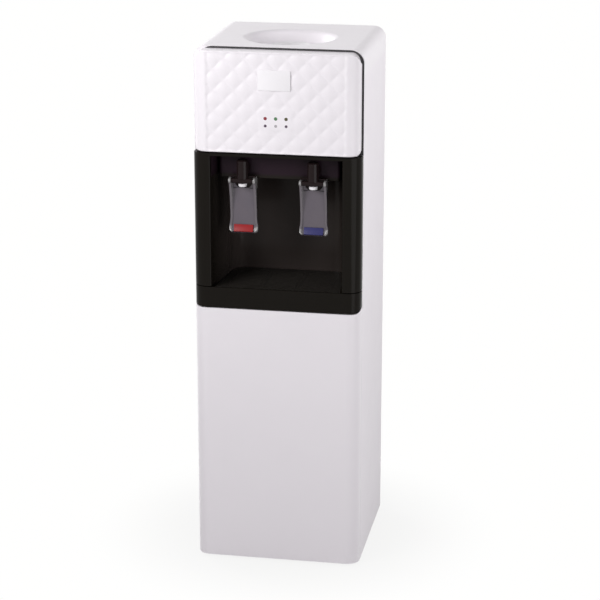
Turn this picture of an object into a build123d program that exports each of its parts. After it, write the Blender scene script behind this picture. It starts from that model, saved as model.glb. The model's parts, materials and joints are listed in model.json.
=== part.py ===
# A floor-standing hot and cold water dispenser. A bottle stands neck down in the top cover, and
# two push levers in a black bay open a hot tap and a cold tap over a drip tray.
# Millimetres. X runs to the right, the front faces -Y, Z is up. The origin is on the floor,
# under the middle of the overall box.
import os
from math import ceil, cos, radians, sin, sqrt, tan

from build123d import *

os.makedirs("parts", exist_ok=True)

# Cabinet
cabinet_width = 310.0
cabinet_depth = 300.0  # front plane to the outer face of the back panel
overall_height = 980.0
foot_height = 5.0
lower_panel_height = 495.0
bay_height = 291.0
corner_radius = 24.0  # upright front edges, seen from above
shoulder_radius = 22.0  # top edges, seen from the front
front_depth = 30.0  # how far the front mouldings reach back
cover_skirt = 46.0  # how far the top cover comes down the sides
panel_wall = 2.8
sheet = 1.0
flange = 12.0
seam_gap = 1.8
edge_round = 3.0
panel_edge = 0.75
upper_foot_round = 6.0
pad_width = 8.0  # seats that stand the front mouldings off the side panels
pad_length = 12.0
pad_height = 14.0
pad_end_gap = 74.25  # from the ends of the lower panel
rib_end_gap = 148.5

# Base, feet and compressor
base_sheet = 1.2
base_upstand = 24.0
foot_radius = 13.0
foot_inset = 34.0
foot_chamfer = 1.25
compressor_x = 18.0
compressor_setback = 87.15
compressor_radius = 62.0
compressor_height = 138.0
compressor_plate = 3.0
compressor_dome = 31.0
grommet_radius = 9.0
grommet_height = 15.0
grommet_spread = 58.0
stub_radius = 4.0
stub_height = 14.0
stub_spread = 31.0

# Quilted relief on the upper front panel
quilt_pitch = 38.5  # across the points of one diamond
quilt_depth = 2.2
quilt_land = 1.2
quilt_row = 55.0  # first row of points above the foot of the panel
quilt_margin = 8.0
lamp_pad_width = 62.0
lamp_pad_height = 30.0

# Indicator lamps
lamp_radius = 3.2
lamp_pitch = 19.0
lamp_rise = 66.0  # above the foot of the upper panel
lamp_head = 0.8
lamp_flange = 1.4
lamp_flange_radius = 5.0
lamp_fit = 0.1
board_thickness = 1.6
board_width = 64.0
board_height = 26.0

# Dispensing bay
jamb_width = 34.0
bay_taper = 14.0  # each wall closes in by this much towards the back
bay_depth = 150.0
bay_back_radius = 28.0
bay_header = 6.0  # from the ceiling of the bay up to its top edge
brow_inset = 9.0
brow_setback = 34.0
brow_height = 45.0
brow_round = 6.0
mouth_round = 4.0
edge_match = 0.01  # how near an edge has to be to count as the mouth's

# Drip tray and grille
tray_height = 38.0
tray_corner = 10.0
tray_edge = 1.5
horn_rise = 7.0  # the lower panel's corners rise this far beside the tray
tray_wall = 2.4
tray_ledge = 3.0
tray_clearance = 0.8
tray_floor_lift = 0.4
grille_thickness = 3.0
grille_clearance = 0.5
grille_sink = 1.0
slot_width = 3.6
slot_pitch = 8.0
slot_columns = 3
slot_bridge = 8.0

# Taps
tap_x = 65.0
tap_setback = 20.0
chamber_radius = 11.0
chamber_bore = 7.6
chamber_drop = 20.0  # heights of a tap are from the axis of its shank
chamber_rise = 8.0
bonnet_radius = 10.6
bonnet_height = 8.0
bonnet_stub = 2.0
bonnet_fit = 0.1
seat_drop = 8.0
seat_thickness = 3.0
seat_bore = 4.0
spout_radius = 10.0
spout_bore = 6.0
spout_drop = 27.0
nozzle_radius = 7.6
nozzle_bore = 4.6
nozzle_length = 7.0
nozzle_stub = 5.0
nozzle_chamfer = 1.25
nozzle_fit = 0.05
shank_radius = 8.0
shank_bore = 4.5
shank_rise = 20.0  # above the foot of the brow
shank_length = 22.0  # past the face of the brow
shank_clearance = 0.3
collar_radius = 12.4
collar_thickness = 3.0
nut_across = 24.0
nut_thickness = 7.0

# Push lever and its valve
pivot_forward = 6.0  # pivot in front of the spout's axis
pivot_drop = 22.0
trunnion_radius = 2.5
trunnion_fit = 0.05
shoulder_boss_radius = 4.5
eye_radius = 5.0
lever_half = 24.5
lever_plate = 4.0
lever_behind = 8.0  # front of the plate behind the spout's axis
rim_width = 4.0
rim_depth = 6.0
ear_side_gap = 0.3
ear_drop = 32.0  # heights of a lever are from its pivot
notch_half = 15.5
notch_drop = 16.0
notch_flare = 3.0
curl_radius = 30.0
curl_angle = 40.0
curl_drop = 82.0
foot_half = 26.5
foot_flare_drop = 76.0
foot_flare = 12.0
tab_width = 36.0
tab_thickness = 2.6
tab_gap = 0.1
tab_start = 6.0
plug_radius = 6.8
plug_height = 4.0
stem_radius = 2.4
stem_gap = 1.0
guide_height = 4.0
lift_pin_radius = 1.5
lift_pin_reach = 24.0
lift_gap = 0.2
lift_slot_side = 0.4
lever_travel = 20.0  # degrees
spring_wire = 0.9
spring_radius = 5.0
spring_turns = 4
spring_sides = 6
spring_seat_gap = 0.05

# Top cover and bottle collar
dish_radius = 82.0
dish_floor_radius = 66.0
dish_depth = 26.0
dish_hub_radius = 40.0
dish_hub_drop = 8.0
throat_radius = 29.0
throat_wall = 3.0
throat_drop = 40.0
collar_flange_radius = 60.0
collar_flange_thickness = 3.0
collar_mouth_radius = 37.0
collar_mouth_rise = 10.0
collar_lip = 2.4
seal_height = 6.0
seal_gap = 0.3

# Cold tank
tank_radius = 80.0
tank_head = 48.8  # top of the tank to the floor of the dish
tank_wall = 1.2
tank_lid_thickness = 3.0
tank_neck_height = 20.0
tank_neck_radius = 40.0
baffle_radius = 68.0
baffle_level = 40.0
baffle_thickness = 2.0
baffle_tube_radius = 8.0
evaporator_thickness = 6.0
evaporator_lift = 14.0
evaporator_head = 19.0  # below the top of the tank
evaporator_sheet = 2.0
evaporator_turns = 6
winding_gap = 0.3
foam_thickness = 18.0
foam_floor = 16.0
shelf_thickness = 1.2
shelf_drop = 4.0  # top of the bay housing to the shelf

# Hot tank
hot_height = 130.0
hot_lift = 66.0  # above the foot of the bay
hot_shoulder = 7.67
hot_front_gap = 17.25  # between the jacket and the back of the bay
hot_rear_gap = 11.05
hot_wall = 1.2
jacket_thickness = 10.0
jacket_gap = 0.3
heater_height = 28.0
heater_lift = 16.0
heater_thickness = 3.0
bracket_sheet = 1.5
bracket_upstand = 40.0

# Hoses and pipes
tube_sides = 8
hose_radius = 5.0
hose_bore = 3.2
hose_bend = 12.0
hose_fit = 1.0
feed_drop = 36.0  # the feed hose turns this far below the hot tank
pipe_radius = 3.0
cold_outlet_x = 35.0
cold_outlet_forward = 33.15
feed_x = 12.0
feed_behind = 54.85

# Condenser
condenser_standoff = 25.9
condenser_tube = 5.0
condenser_wire = 1.6
condenser_weld = 0.3
condenser_half = 115.0
condenser_low = 200.0
condenser_pitch = 44.0
condenser_passes = 9
condenser_bend = 20.0
condenser_overhang = 10.0
condenser_inlet = 14.0  # how far the tube's ends reach into the cabinet
wire_pitch = 30.0
wire_count = 7
clip_width = 9.0
clip_height = 12.0
clip_fit = 0.05
tube_hole_gap = 2.0

# Rear panel fittings
vent_width = 50.0
vent_height = 5.0
vent_pitch = 12.0
vent_gap = 10.0
lower_vent_rows = 7
lower_vent_level = 100.0
upper_vent_rows = 6
upper_vent_level = 720.0
switch_inset = 55.0
switch_pitch = 32.0
switch_level = 650.0
switch_width = 21.0
switch_height = 27.0
switch_body_wall = 1.6
switch_flange = 2.5
switch_flange_thickness = 2.0
switch_depth = 16.0
rocker_gap = 0.5
rocker_swing_gap = 1.6
rocker_throw = 16.0
rocker_pivot_depth = 4.0
rocker_pin_radius = 1.5
rocker_pin_fit = 0.05
rocker_crown = 3.0
rocker_thickness = 6.0
drain_offset = 15.0  # beside the hot tank's axis
drain_level = 60.0
drain_radius = 9.0
drain_bore = 5.0
drain_flange_radius = 16.0
drain_flange = 3.0
drain_length = 16.0
drain_cap_wall = 2.6
drain_cap_gap = 0.3
drain_cap_sides = 10
gland_inset = 50.0
gland_level = 52.0
gland_radius = 9.0
gland_bore = 4.5
gland_flange_radius = 13.0
gland_flange = 3.0

# Places worked out from the sizes above
half_width = cabinet_width / 2
rear_reach = condenser_standoff + condenser_tube / 2 + condenser_wire - condenser_weld
front_y = -(cabinet_depth + rear_reach) / 2
back_y = front_y + cabinet_depth
seam_y = front_y + front_depth
moulding_rear = seam_y - seam_gap
bay_bottom = foot_height + lower_panel_height
bay_top = bay_bottom + bay_height
bay_ceiling = bay_top - bay_header
tray_top = bay_bottom + tray_height
bay_mouth_half = half_width - jamb_width
bay_back_half = bay_mouth_half - bay_taper
brow_half = bay_mouth_half - brow_inset
recess_back = front_y + bay_depth
brow_y = front_y + brow_setback
brow_low = bay_ceiling - brow_height
tap_y = front_y + tap_setback
cover_low = overall_height - cover_skirt
dish_y = (front_y + back_y) / 2
dish_floor = overall_height - dish_depth
shelf_level = bay_top + shelf_drop
foam_low = shelf_level + shelf_thickness
tank_low = foam_low + foam_floor
tank_high = dish_floor - tank_head
tank_height = tank_high - tank_low
evaporator_height = tank_height - evaporator_lift - evaporator_head
base_top = foot_height + base_sheet
lamp_level = bay_top + lamp_rise
shank_level = brow_low + shank_rise
chamber_low = shank_level - chamber_drop
chamber_high = shank_level + chamber_rise
seat_level = shank_level - seat_drop
spout_low = shank_level - spout_drop
nozzle_low = spout_low - nozzle_length
stem_low = spout_low + nozzle_stub + stem_gap
pivot_y = tap_y - pivot_forward
pivot_level = shank_level - pivot_drop
ear_foot = pivot_level - ear_drop
notch_low = pivot_level - notch_drop
curl_level = pivot_level - curl_drop
foot_flare_level = pivot_level - foot_flare_drop
lever_y = tap_y + lever_behind
ear_top = pivot_level + eye_radius
ear_inner = lever_half - rim_width
lift_pin_level = ear_top + lift_gap + lift_pin_radius
condenser_y = back_y + condenser_standoff
hot_x = -tap_x
hot_low = bay_bottom + hot_lift
hot_high = hot_low + hot_height
hot_front = recess_back + hot_front_gap
hot_rear = back_y - sheet - bracket_sheet - hot_rear_gap
hot_y = (hot_front + hot_rear) / 2
jacket_bore = (hot_rear - hot_front) / 2 - jacket_thickness
hot_radius = jacket_bore - 2 * jacket_gap - heater_thickness
compressor_y = back_y - compressor_setback
cold_outlet_y = dish_y - cold_outlet_forward
feed_y = dish_y + feed_behind
switch_x = half_width - switch_inset
gland_x = half_width - gland_inset
drain_x = hot_x - drain_offset
shank_end = brow_y + shank_length

# Lift of the valve over the lever's travel: the ear's flat top turns under the lift pin
lever_turn = radians(lever_travel)
valve_lift = pivot_forward * tan(lever_turn) + (eye_radius + lift_pin_radius) * (1 / cos(lever_turn) - 1)
print(f"valve lift {valve_lift:.3f} mm over {lever_travel:.0f} degrees, {valve_lift / lever_turn:.3f} mm per radian")
print(f"lever pivot at y {pivot_y:.3f}, z {pivot_level:.3f}; front plane at y {front_y:.3f}, back at {back_y:.3f}")


def moulding(low, high, inset, front_inset, low_corner, high_corner):
    # A block with the cabinet's rounded front corners in plan and its own corners in front view
    front = front_y + front_inset
    with BuildPart() as block:
        with BuildSketch(Plane.XY.offset(low)) as plan:
            with Locations((0, (front + moulding_rear) / 2)):
                Rectangle(cabinet_width - 2 * inset, moulding_rear - front)
            fillet(plan.vertices().group_by(Axis.Y)[0], corner_radius - inset)
        extrude(amount=high - low)
        with BuildSketch(Plane.XZ.offset(-moulding_rear)) as outline:
            with Locations((0, (low + high) / 2)):
                Rectangle(cabinet_width - 2 * inset, high - low)
            fillet(outline.vertices().group_by(Axis.Y)[0], low_corner)
            fillet(outline.vertices().group_by(Axis.Y)[-1], high_corner)
        extrude(amount=moulding_rear - front, mode=Mode.INTERSECT)
    return block.part


def seat_pads(levels):
    # Blocks inside the side returns that reach back to the side panels' front flanges
    for side in (-1, 1):
        for level in levels:
            with Locations((side * (half_width - panel_wall - pad_width / 2), seam_y - pad_length / 2, level)):
                Box(pad_width, pad_length, pad_height)


def recess_plan(level, inset, front):
    # The bay in plan: walls that close in towards a rounded back
    slope = (bay_mouth_half - bay_back_half) / bay_depth
    mouth = bay_mouth_half - inset - slope * (front - front_y)
    back = bay_back_half - inset + slope * inset
    with BuildSketch(Plane.XY.offset(level)) as plan:
        with BuildLine():
            Polyline(
                (-mouth, front),
                (mouth, front),
                (back, recess_back - inset),
                (-back, recess_back - inset),
                close=True,
            )
        make_face()
        fillet(plan.vertices().group_by(Axis.Y)[-1], bay_back_radius - inset)
    return plan.sketch


def arch(plane, inset, low):
    # The cabinet's front outline above a given level, with its rounded shoulders
    with BuildSketch(plane) as outline:
        with Locations((0, (low + overall_height - inset) / 2)):
            Rectangle(cabinet_width - 2 * inset, overall_height - inset - low)
        fillet(outline.vertices().group_by(Axis.Y)[-1], shoulder_radius - inset)
    return outline.sketch


def half_section(points, x, y):
    # A half section of radius and height beside the upright line through x, y
    with BuildSketch(Plane(origin=(x, y, 0), x_dir=(1, 0, 0), z_dir=(0, -1, 0))) as section:
        with BuildLine():
            Polyline(*points, close=True)
        make_face()
    return section.sketch


def upright(x, y):
    return Axis((x, y, 0), (0, 0, 1))


def tube(points, bend, outer, bore):
    # A bent pipe or hose along straight runs joined by arcs
    with BuildPart() as pipe:
        with BuildLine() as route:
            if len(points) > 2:
                FilletPolyline(*points, radius=bend)
            else:
                Line(*points)
        with BuildSketch(Plane(origin=route.line @ 0, z_dir=route.line % 0)):
            RegularPolygon(outer, tube_sides)
            if bore:
                RegularPolygon(bore, tube_sides, mode=Mode.SUBTRACT)
        sweep(path=route.line)
    return pipe.part


# Base plate: a folded tray that carries the compressor
with BuildPart() as base_plate:
    base_width = cabinet_width - 2 * sheet
    base_front = front_y + front_depth / 2
    base_length = back_y - 2 * sheet - base_front
    base_middle = (back_y - 2 * sheet + base_front) / 2
    with BuildSketch(Plane.XY.offset(foot_height)):
        with Locations((0, base_middle)):
            Rectangle(base_width - 2 * flange, base_length)
    extrude(amount=base_sheet)
    with BuildSketch(Plane.XY.offset(foot_height)):
        with Locations((0, (seam_y + flange + back_y - 2 * sheet) / 2)):
            Rectangle(base_width, back_y - 2 * sheet - seam_y - flange)
    extrude(amount=base_upstand)
    with BuildSketch(Plane.XY.offset(base_top)):
        with Locations((0, (seam_y + flange + back_y - 2 * sheet) / 2)):
            Rectangle(base_width - 2 * base_sheet, back_y - 2 * sheet - seam_y - flange - 2 * base_sheet)
    extrude(amount=base_upstand, mode=Mode.SUBTRACT)
base_plate.part.label = "base_plate"
export_step(base_plate.part, "parts/base_plate.step")

# Four low feet
with BuildPart() as feet:
    with Locations((0, base_middle, 0)):
        with GridLocations(cabinet_width - 2 * foot_inset, base_length - 2 * foot_inset, 2, 2):
            Cylinder(foot_radius, foot_height, align=(Align.CENTER, Align.CENTER, Align.MIN))
    chamfer(feet.faces().filter_by(Axis.Z).group_by(Axis.Z)[0].edges(), foot_chamfer)
feet.part.label = "feet"
export_step(feet.part, "parts/feet.step")

# Side panels: folded steel with flanges at the front, back and top
for side, name in ((-1, "left_side_panel"), (1, "right_side_panel")):
    with BuildPart() as side_panel:
        with BuildSketch(Plane.XY.offset(foot_height)):
            with Locations((side * (half_width - flange / 2), (seam_y + back_y - sheet) / 2)):
                Rectangle(flange, back_y - sheet - seam_y)
        extrude(amount=cover_low - foot_height)
        with BuildSketch(Plane.XY.offset(foot_height)):
            with Locations((side * (half_width - sheet - flange / 2), (seam_y + back_y - sheet) / 2)):
                Rectangle(flange, back_y - sheet - seam_y - 2 * sheet)
        extrude(amount=cover_low - foot_height - sheet, mode=Mode.SUBTRACT)
    side_panel.part.label = name
    export_step(side_panel.part, f"parts/{name}.step")

# Back panel with vents and the holes for its fittings
with BuildPart() as back_panel:
    with BuildSketch(Plane.XZ.offset(-back_y)):
        with Locations((0, (foot_height + cover_low) / 2)):
            Rectangle(cabinet_width - 2 * sheet, cover_low - foot_height)
        for level, rows in ((lower_vent_level, lower_vent_rows), (upper_vent_level, upper_vent_rows)):
            with Locations((0, level)):
                with GridLocations(vent_width + vent_gap, vent_pitch, 2, rows):
                    Rectangle(vent_width, vent_height, mode=Mode.SUBTRACT)
        with Locations((switch_x - switch_pitch / 2, switch_level), (switch_x + switch_pitch / 2, switch_level)):
            Rectangle(switch_width, switch_height, mode=Mode.SUBTRACT)
        with Locations((drain_x, drain_level)):
            Circle(drain_radius, mode=Mode.SUBTRACT)
        with Locations((gland_x, gland_level)):
            Circle(gland_radius, mode=Mode.SUBTRACT)
        condenser_high = condenser_low + condenser_pitch * (condenser_passes - 1)
        with Locations((-condenser_half, condenser_low), (condenser_half, condenser_high)):
            Circle(condenser_tube / 2 + tube_hole_gap, mode=Mode.SUBTRACT)
    extrude(amount=sheet)
back_panel.part.label = "back_panel"
export_step(back_panel.part, "parts/back_panel.step")

# Lower front panel: a plain moulding whose top corners rise round the drip tray's
lower_skin = moulding(foot_height, bay_bottom - seam_gap + horn_rise, 0, 0, panel_edge, panel_edge)
lower_core = moulding(
    foot_height - edge_round, bay_bottom - seam_gap - panel_wall, panel_wall, panel_wall, panel_edge, edge_round
)
with BuildPart() as lower_front_panel:
    add(lower_skin)
    add(lower_core, mode=Mode.SUBTRACT)
    with BuildSketch(Plane.XZ.offset(-moulding_rear)) as tray_outline:
        with Locations((0, bay_bottom - seam_gap + tray_height / 2)):
            Rectangle(cabinet_width, tray_height)
        fillet(tray_outline.vertices().group_by(Axis.Y)[0], tray_corner)
    extrude(amount=front_depth, mode=Mode.SUBTRACT)
    seat_pads((foot_height + pad_end_gap, (foot_height + bay_bottom) / 2, bay_bottom - pad_end_gap))
    # Stiffening ribs across the back of the face
    for level in (foot_height + rib_end_gap, bay_bottom - rib_end_gap):
        with Locations((0, front_y + panel_wall + pad_length / 2, level)):
            Box(cabinet_width - 2 * corner_radius, pad_length, panel_wall)
lower_front_panel.part.label = "lower_front_panel"
export_step(lower_front_panel.part, "parts/lower_front_panel.step")

# Upper front panel: quilted diamonds that run out on the rounded corners
panel_low = bay_top + seam_gap / 2
upper_skin = moulding(panel_low, overall_height, 0, 0, upper_foot_round, shoulder_radius)
upper_core = moulding(
    panel_low + panel_wall,
    overall_height - panel_wall,
    panel_wall,
    panel_wall + quilt_depth,
    edge_round,
    shoulder_radius - panel_wall,
)
quilt_half = half_width - corner_radius + quilt_margin
quilt_low = panel_low + quilt_margin
quilt_high = overall_height - quilt_margin
quilt_centre = bay_top + quilt_row
groove_reach = ceil((quilt_half + quilt_high - quilt_low) / quilt_pitch)
groove_half = quilt_pitch / sqrt(2) / 2 - quilt_land / 2
groove_length = 2 * (quilt_half + quilt_high - quilt_low)
with BuildPart() as grooves:
    for lean in (1, -1):
        for count in range(-groove_reach, groove_reach):
            groove_plane = Plane(
                origin=((count + 0.5) * quilt_pitch, front_y, quilt_centre), x_dir=(lean, 0, -1), z_dir=(1, 0, lean)
            )
            with BuildSketch(groove_plane):
                with BuildLine():
                    Polyline(
                        (-groove_half, 0),
                        (-groove_half, -quilt_depth),
                        (groove_half, -quilt_depth),
                        (groove_half, 0),
                        (0, quilt_depth),
                        close=True,
                    )
                make_face()
    extrude(amount=groove_length, both=True)
    with BuildSketch(Plane.XZ.offset(-front_y - quilt_depth)):
        with Locations((0, (quilt_low + quilt_high) / 2)):
            Rectangle(2 * quilt_half, quilt_high - quilt_low)
        with Locations((0, lamp_level)):
            RectangleRounded(lamp_pad_width, lamp_pad_height, edge_round, mode=Mode.SUBTRACT)
    extrude(amount=2 * quilt_depth, mode=Mode.INTERSECT)
with BuildPart() as upper_front_panel:
    add(upper_skin)
    add(upper_core, mode=Mode.SUBTRACT)
    add(grooves.part, mode=Mode.SUBTRACT)
    seat_pads((panel_low + 2 * pad_height, overall_height - shoulder_radius - 2 * pad_height))
    with BuildSketch(Plane.XZ.offset(-front_y)):
        with Locations((0, lamp_level)):
            with GridLocations(lamp_pitch, 1, 3, 1):
                Circle(lamp_radius + lamp_fit)
    extrude(amount=-2 * (panel_wall + quilt_depth), mode=Mode.SUBTRACT)
upper_front_panel.part.label = "upper_front_panel"
export_step(upper_front_panel.part, "parts/upper_front_panel.step")

# Three indicator lamps in the panel, and the board that carries them
lamp_seat = front_y + panel_wall + quilt_depth
for place, name in ((-1, "red_lamp"), (0, "green_lamp"), (1, "amber_lamp")):
    with BuildPart() as lamp:
        with BuildSketch(Plane.XZ.offset(-lamp_seat)):
            with Locations((place * lamp_pitch, lamp_level)):
                Circle(lamp_radius)
        extrude(amount=panel_wall + quilt_depth - lamp_head / 2)
        fillet(lamp.faces().sort_by(Axis.Y)[0].edges(), lamp_head)
        with BuildSketch(Plane.XZ.offset(-lamp_seat)):
            with Locations((place * lamp_pitch, lamp_level)):
                Circle(lamp_flange_radius)
        extrude(amount=-lamp_flange)
    lamp.part.label = name
    export_step(lamp.part, f"parts/{name}.step")
with BuildPart() as indicator_board:
    with BuildSketch(Plane.XZ.offset(-lamp_seat - lamp_flange)):
        with Locations((0, lamp_level)):
            RectangleRounded(board_width, board_height, edge_round)
    extrude(amount=-board_thickness)
indicator_board.part.label = "indicator_board"
export_step(indicator_board.part, "parts/indicator_board.step")

# Bay housing: jambs flush with the panels, a tapered recess and a brow that carries the taps
jamb_low = tray_top + seam_gap
jamb_high = bay_top - seam_gap / 2
jamb_skin = moulding(jamb_low, jamb_high, 0, 0, edge_round, edge_round)
jamb_core = moulding(
    jamb_low + panel_wall, jamb_high - panel_wall, panel_wall, panel_wall, edge_round, edge_round
)
with BuildPart() as bay_housing:
    add(jamb_skin)
    add(jamb_core, mode=Mode.SUBTRACT)
    extrude(recess_plan(bay_bottom, -panel_wall, front_y + panel_wall), amount=bay_ceiling + panel_wall - bay_bottom)
    with Locations((0, (front_y + seam_y) / 2, (bay_bottom + jamb_low) / 2)):
        Box(cabinet_width, front_depth, jamb_low - bay_bottom, mode=Mode.SUBTRACT)
    extrude(
        recess_plan(bay_bottom + panel_wall, 0, front_y),
        amount=bay_ceiling - bay_bottom - panel_wall,
        mode=Mode.SUBTRACT,
    )
    mouth_edges = bay_housing.edges().filter_by(Axis.Z).filter_by(
        lambda edge: abs(edge.center().Y - front_y) < edge_match
        and abs(abs(edge.center().X) - bay_mouth_half) < edge_match
    )
    fillet(mouth_edges, mouth_round)
    with BuildSketch(Plane.XY.offset(brow_low)) as brow_plan:
        with Locations((0, (brow_y + recess_back) / 2)):
            Rectangle(2 * brow_half, recess_back - brow_y)
        fillet(brow_plan.vertices().group_by(Axis.Y)[0], brow_round)
    extrude(amount=brow_height)
    brow_hollow = brow_half - panel_wall
    with BuildSketch(Plane.XY.offset(brow_low + panel_wall)) as hollow_plan:
        with Locations((0, (brow_y + recess_back) / 2)):
            Rectangle(2 * brow_hollow, recess_back - brow_y - 2 * panel_wall)
        fillet(hollow_plan.vertices().group_by(Axis.Y)[0], brow_round - panel_wall)
    extrude(amount=brow_height + bay_header, mode=Mode.SUBTRACT)
    with BuildSketch(Plane.XZ.offset(-brow_y)):
        with Locations((-tap_x, shank_level), (tap_x, shank_level)):
            Circle(shank_radius + shank_clearance)
    extrude(amount=-2 * panel_wall, mode=Mode.SUBTRACT)
    # The hot hose leaves the brow through its back wall
    with BuildSketch(Plane.XZ.offset(-recess_back - 2 * panel_wall)):
        with Locations((-tap_x, shank_level)):
            Circle(hose_radius + hose_fit)
    extrude(amount=4 * panel_wall, mode=Mode.SUBTRACT)
    seat_pads((jamb_low + 2 * pad_height, jamb_high - 2 * pad_height))
bay_housing.part.label = "bay_housing"
export_step(bay_housing.part, "parts/bay_housing.step")

# Drip tray: a full-width front, flush with the panels, and a basin that follows the bay
tray_skin = moulding(bay_bottom, tray_top, 0, 0, tray_corner, tray_edge)
tray_core = moulding(
    bay_bottom + tray_wall, tray_top - tray_wall, tray_wall, tray_wall, tray_corner - tray_wall, tray_edge
)
basin_low = bay_bottom + panel_wall + tray_floor_lift
grille_seat = tray_top - grille_sink - grille_thickness
with BuildPart() as drip_tray:
    add(tray_skin)
    add(tray_core, mode=Mode.SUBTRACT)
    extrude(
        recess_plan(basin_low, tray_clearance, front_y + tray_wall), amount=tray_top - tray_edge - basin_low
    )
    basin_inset = tray_clearance + tray_wall
    extrude(
        recess_plan(basin_low + tray_wall, basin_inset + tray_ledge, front_y + 2 * tray_wall + tray_ledge),
        amount=tray_height,
        mode=Mode.SUBTRACT,
    )
    extrude(
        recess_plan(grille_seat, basin_inset, front_y + 2 * tray_wall), amount=tray_height, mode=Mode.SUBTRACT
    )
drip_tray.part.label = "drip_tray"
export_step(drip_tray.part, "parts/drip_tray.step")

# Drip grille: a slotted plate that drops into the tray
grille_inset = basin_inset + grille_clearance
grille_front = front_y + 2 * tray_wall + grille_clearance
with BuildPart() as drip_grille:
    extrude(recess_plan(grille_seat, grille_inset, grille_front), amount=grille_thickness)
    slot_field = 2 * (bay_back_half - grille_inset - slot_bridge)
    slot_length = (slot_field - (slot_columns - 1) * slot_bridge) / slot_columns
    slot_depth = recess_back - grille_inset - slot_bridge - grille_front - bay_back_radius / 2
    slot_rows = int(slot_depth / slot_pitch)
    with BuildSketch(Plane.XY.offset(grille_seat)):
        with Locations((0, grille_front + slot_bridge + slot_depth / 2)):
            with GridLocations(slot_length + slot_bridge, slot_pitch, slot_columns, slot_rows):
                Rectangle(slot_length, slot_width)
    extrude(amount=grille_thickness, mode=Mode.SUBTRACT)
drip_grille.part.label = "drip_grille"
export_step(drip_grille.part, "parts/drip_grille.step")

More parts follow.
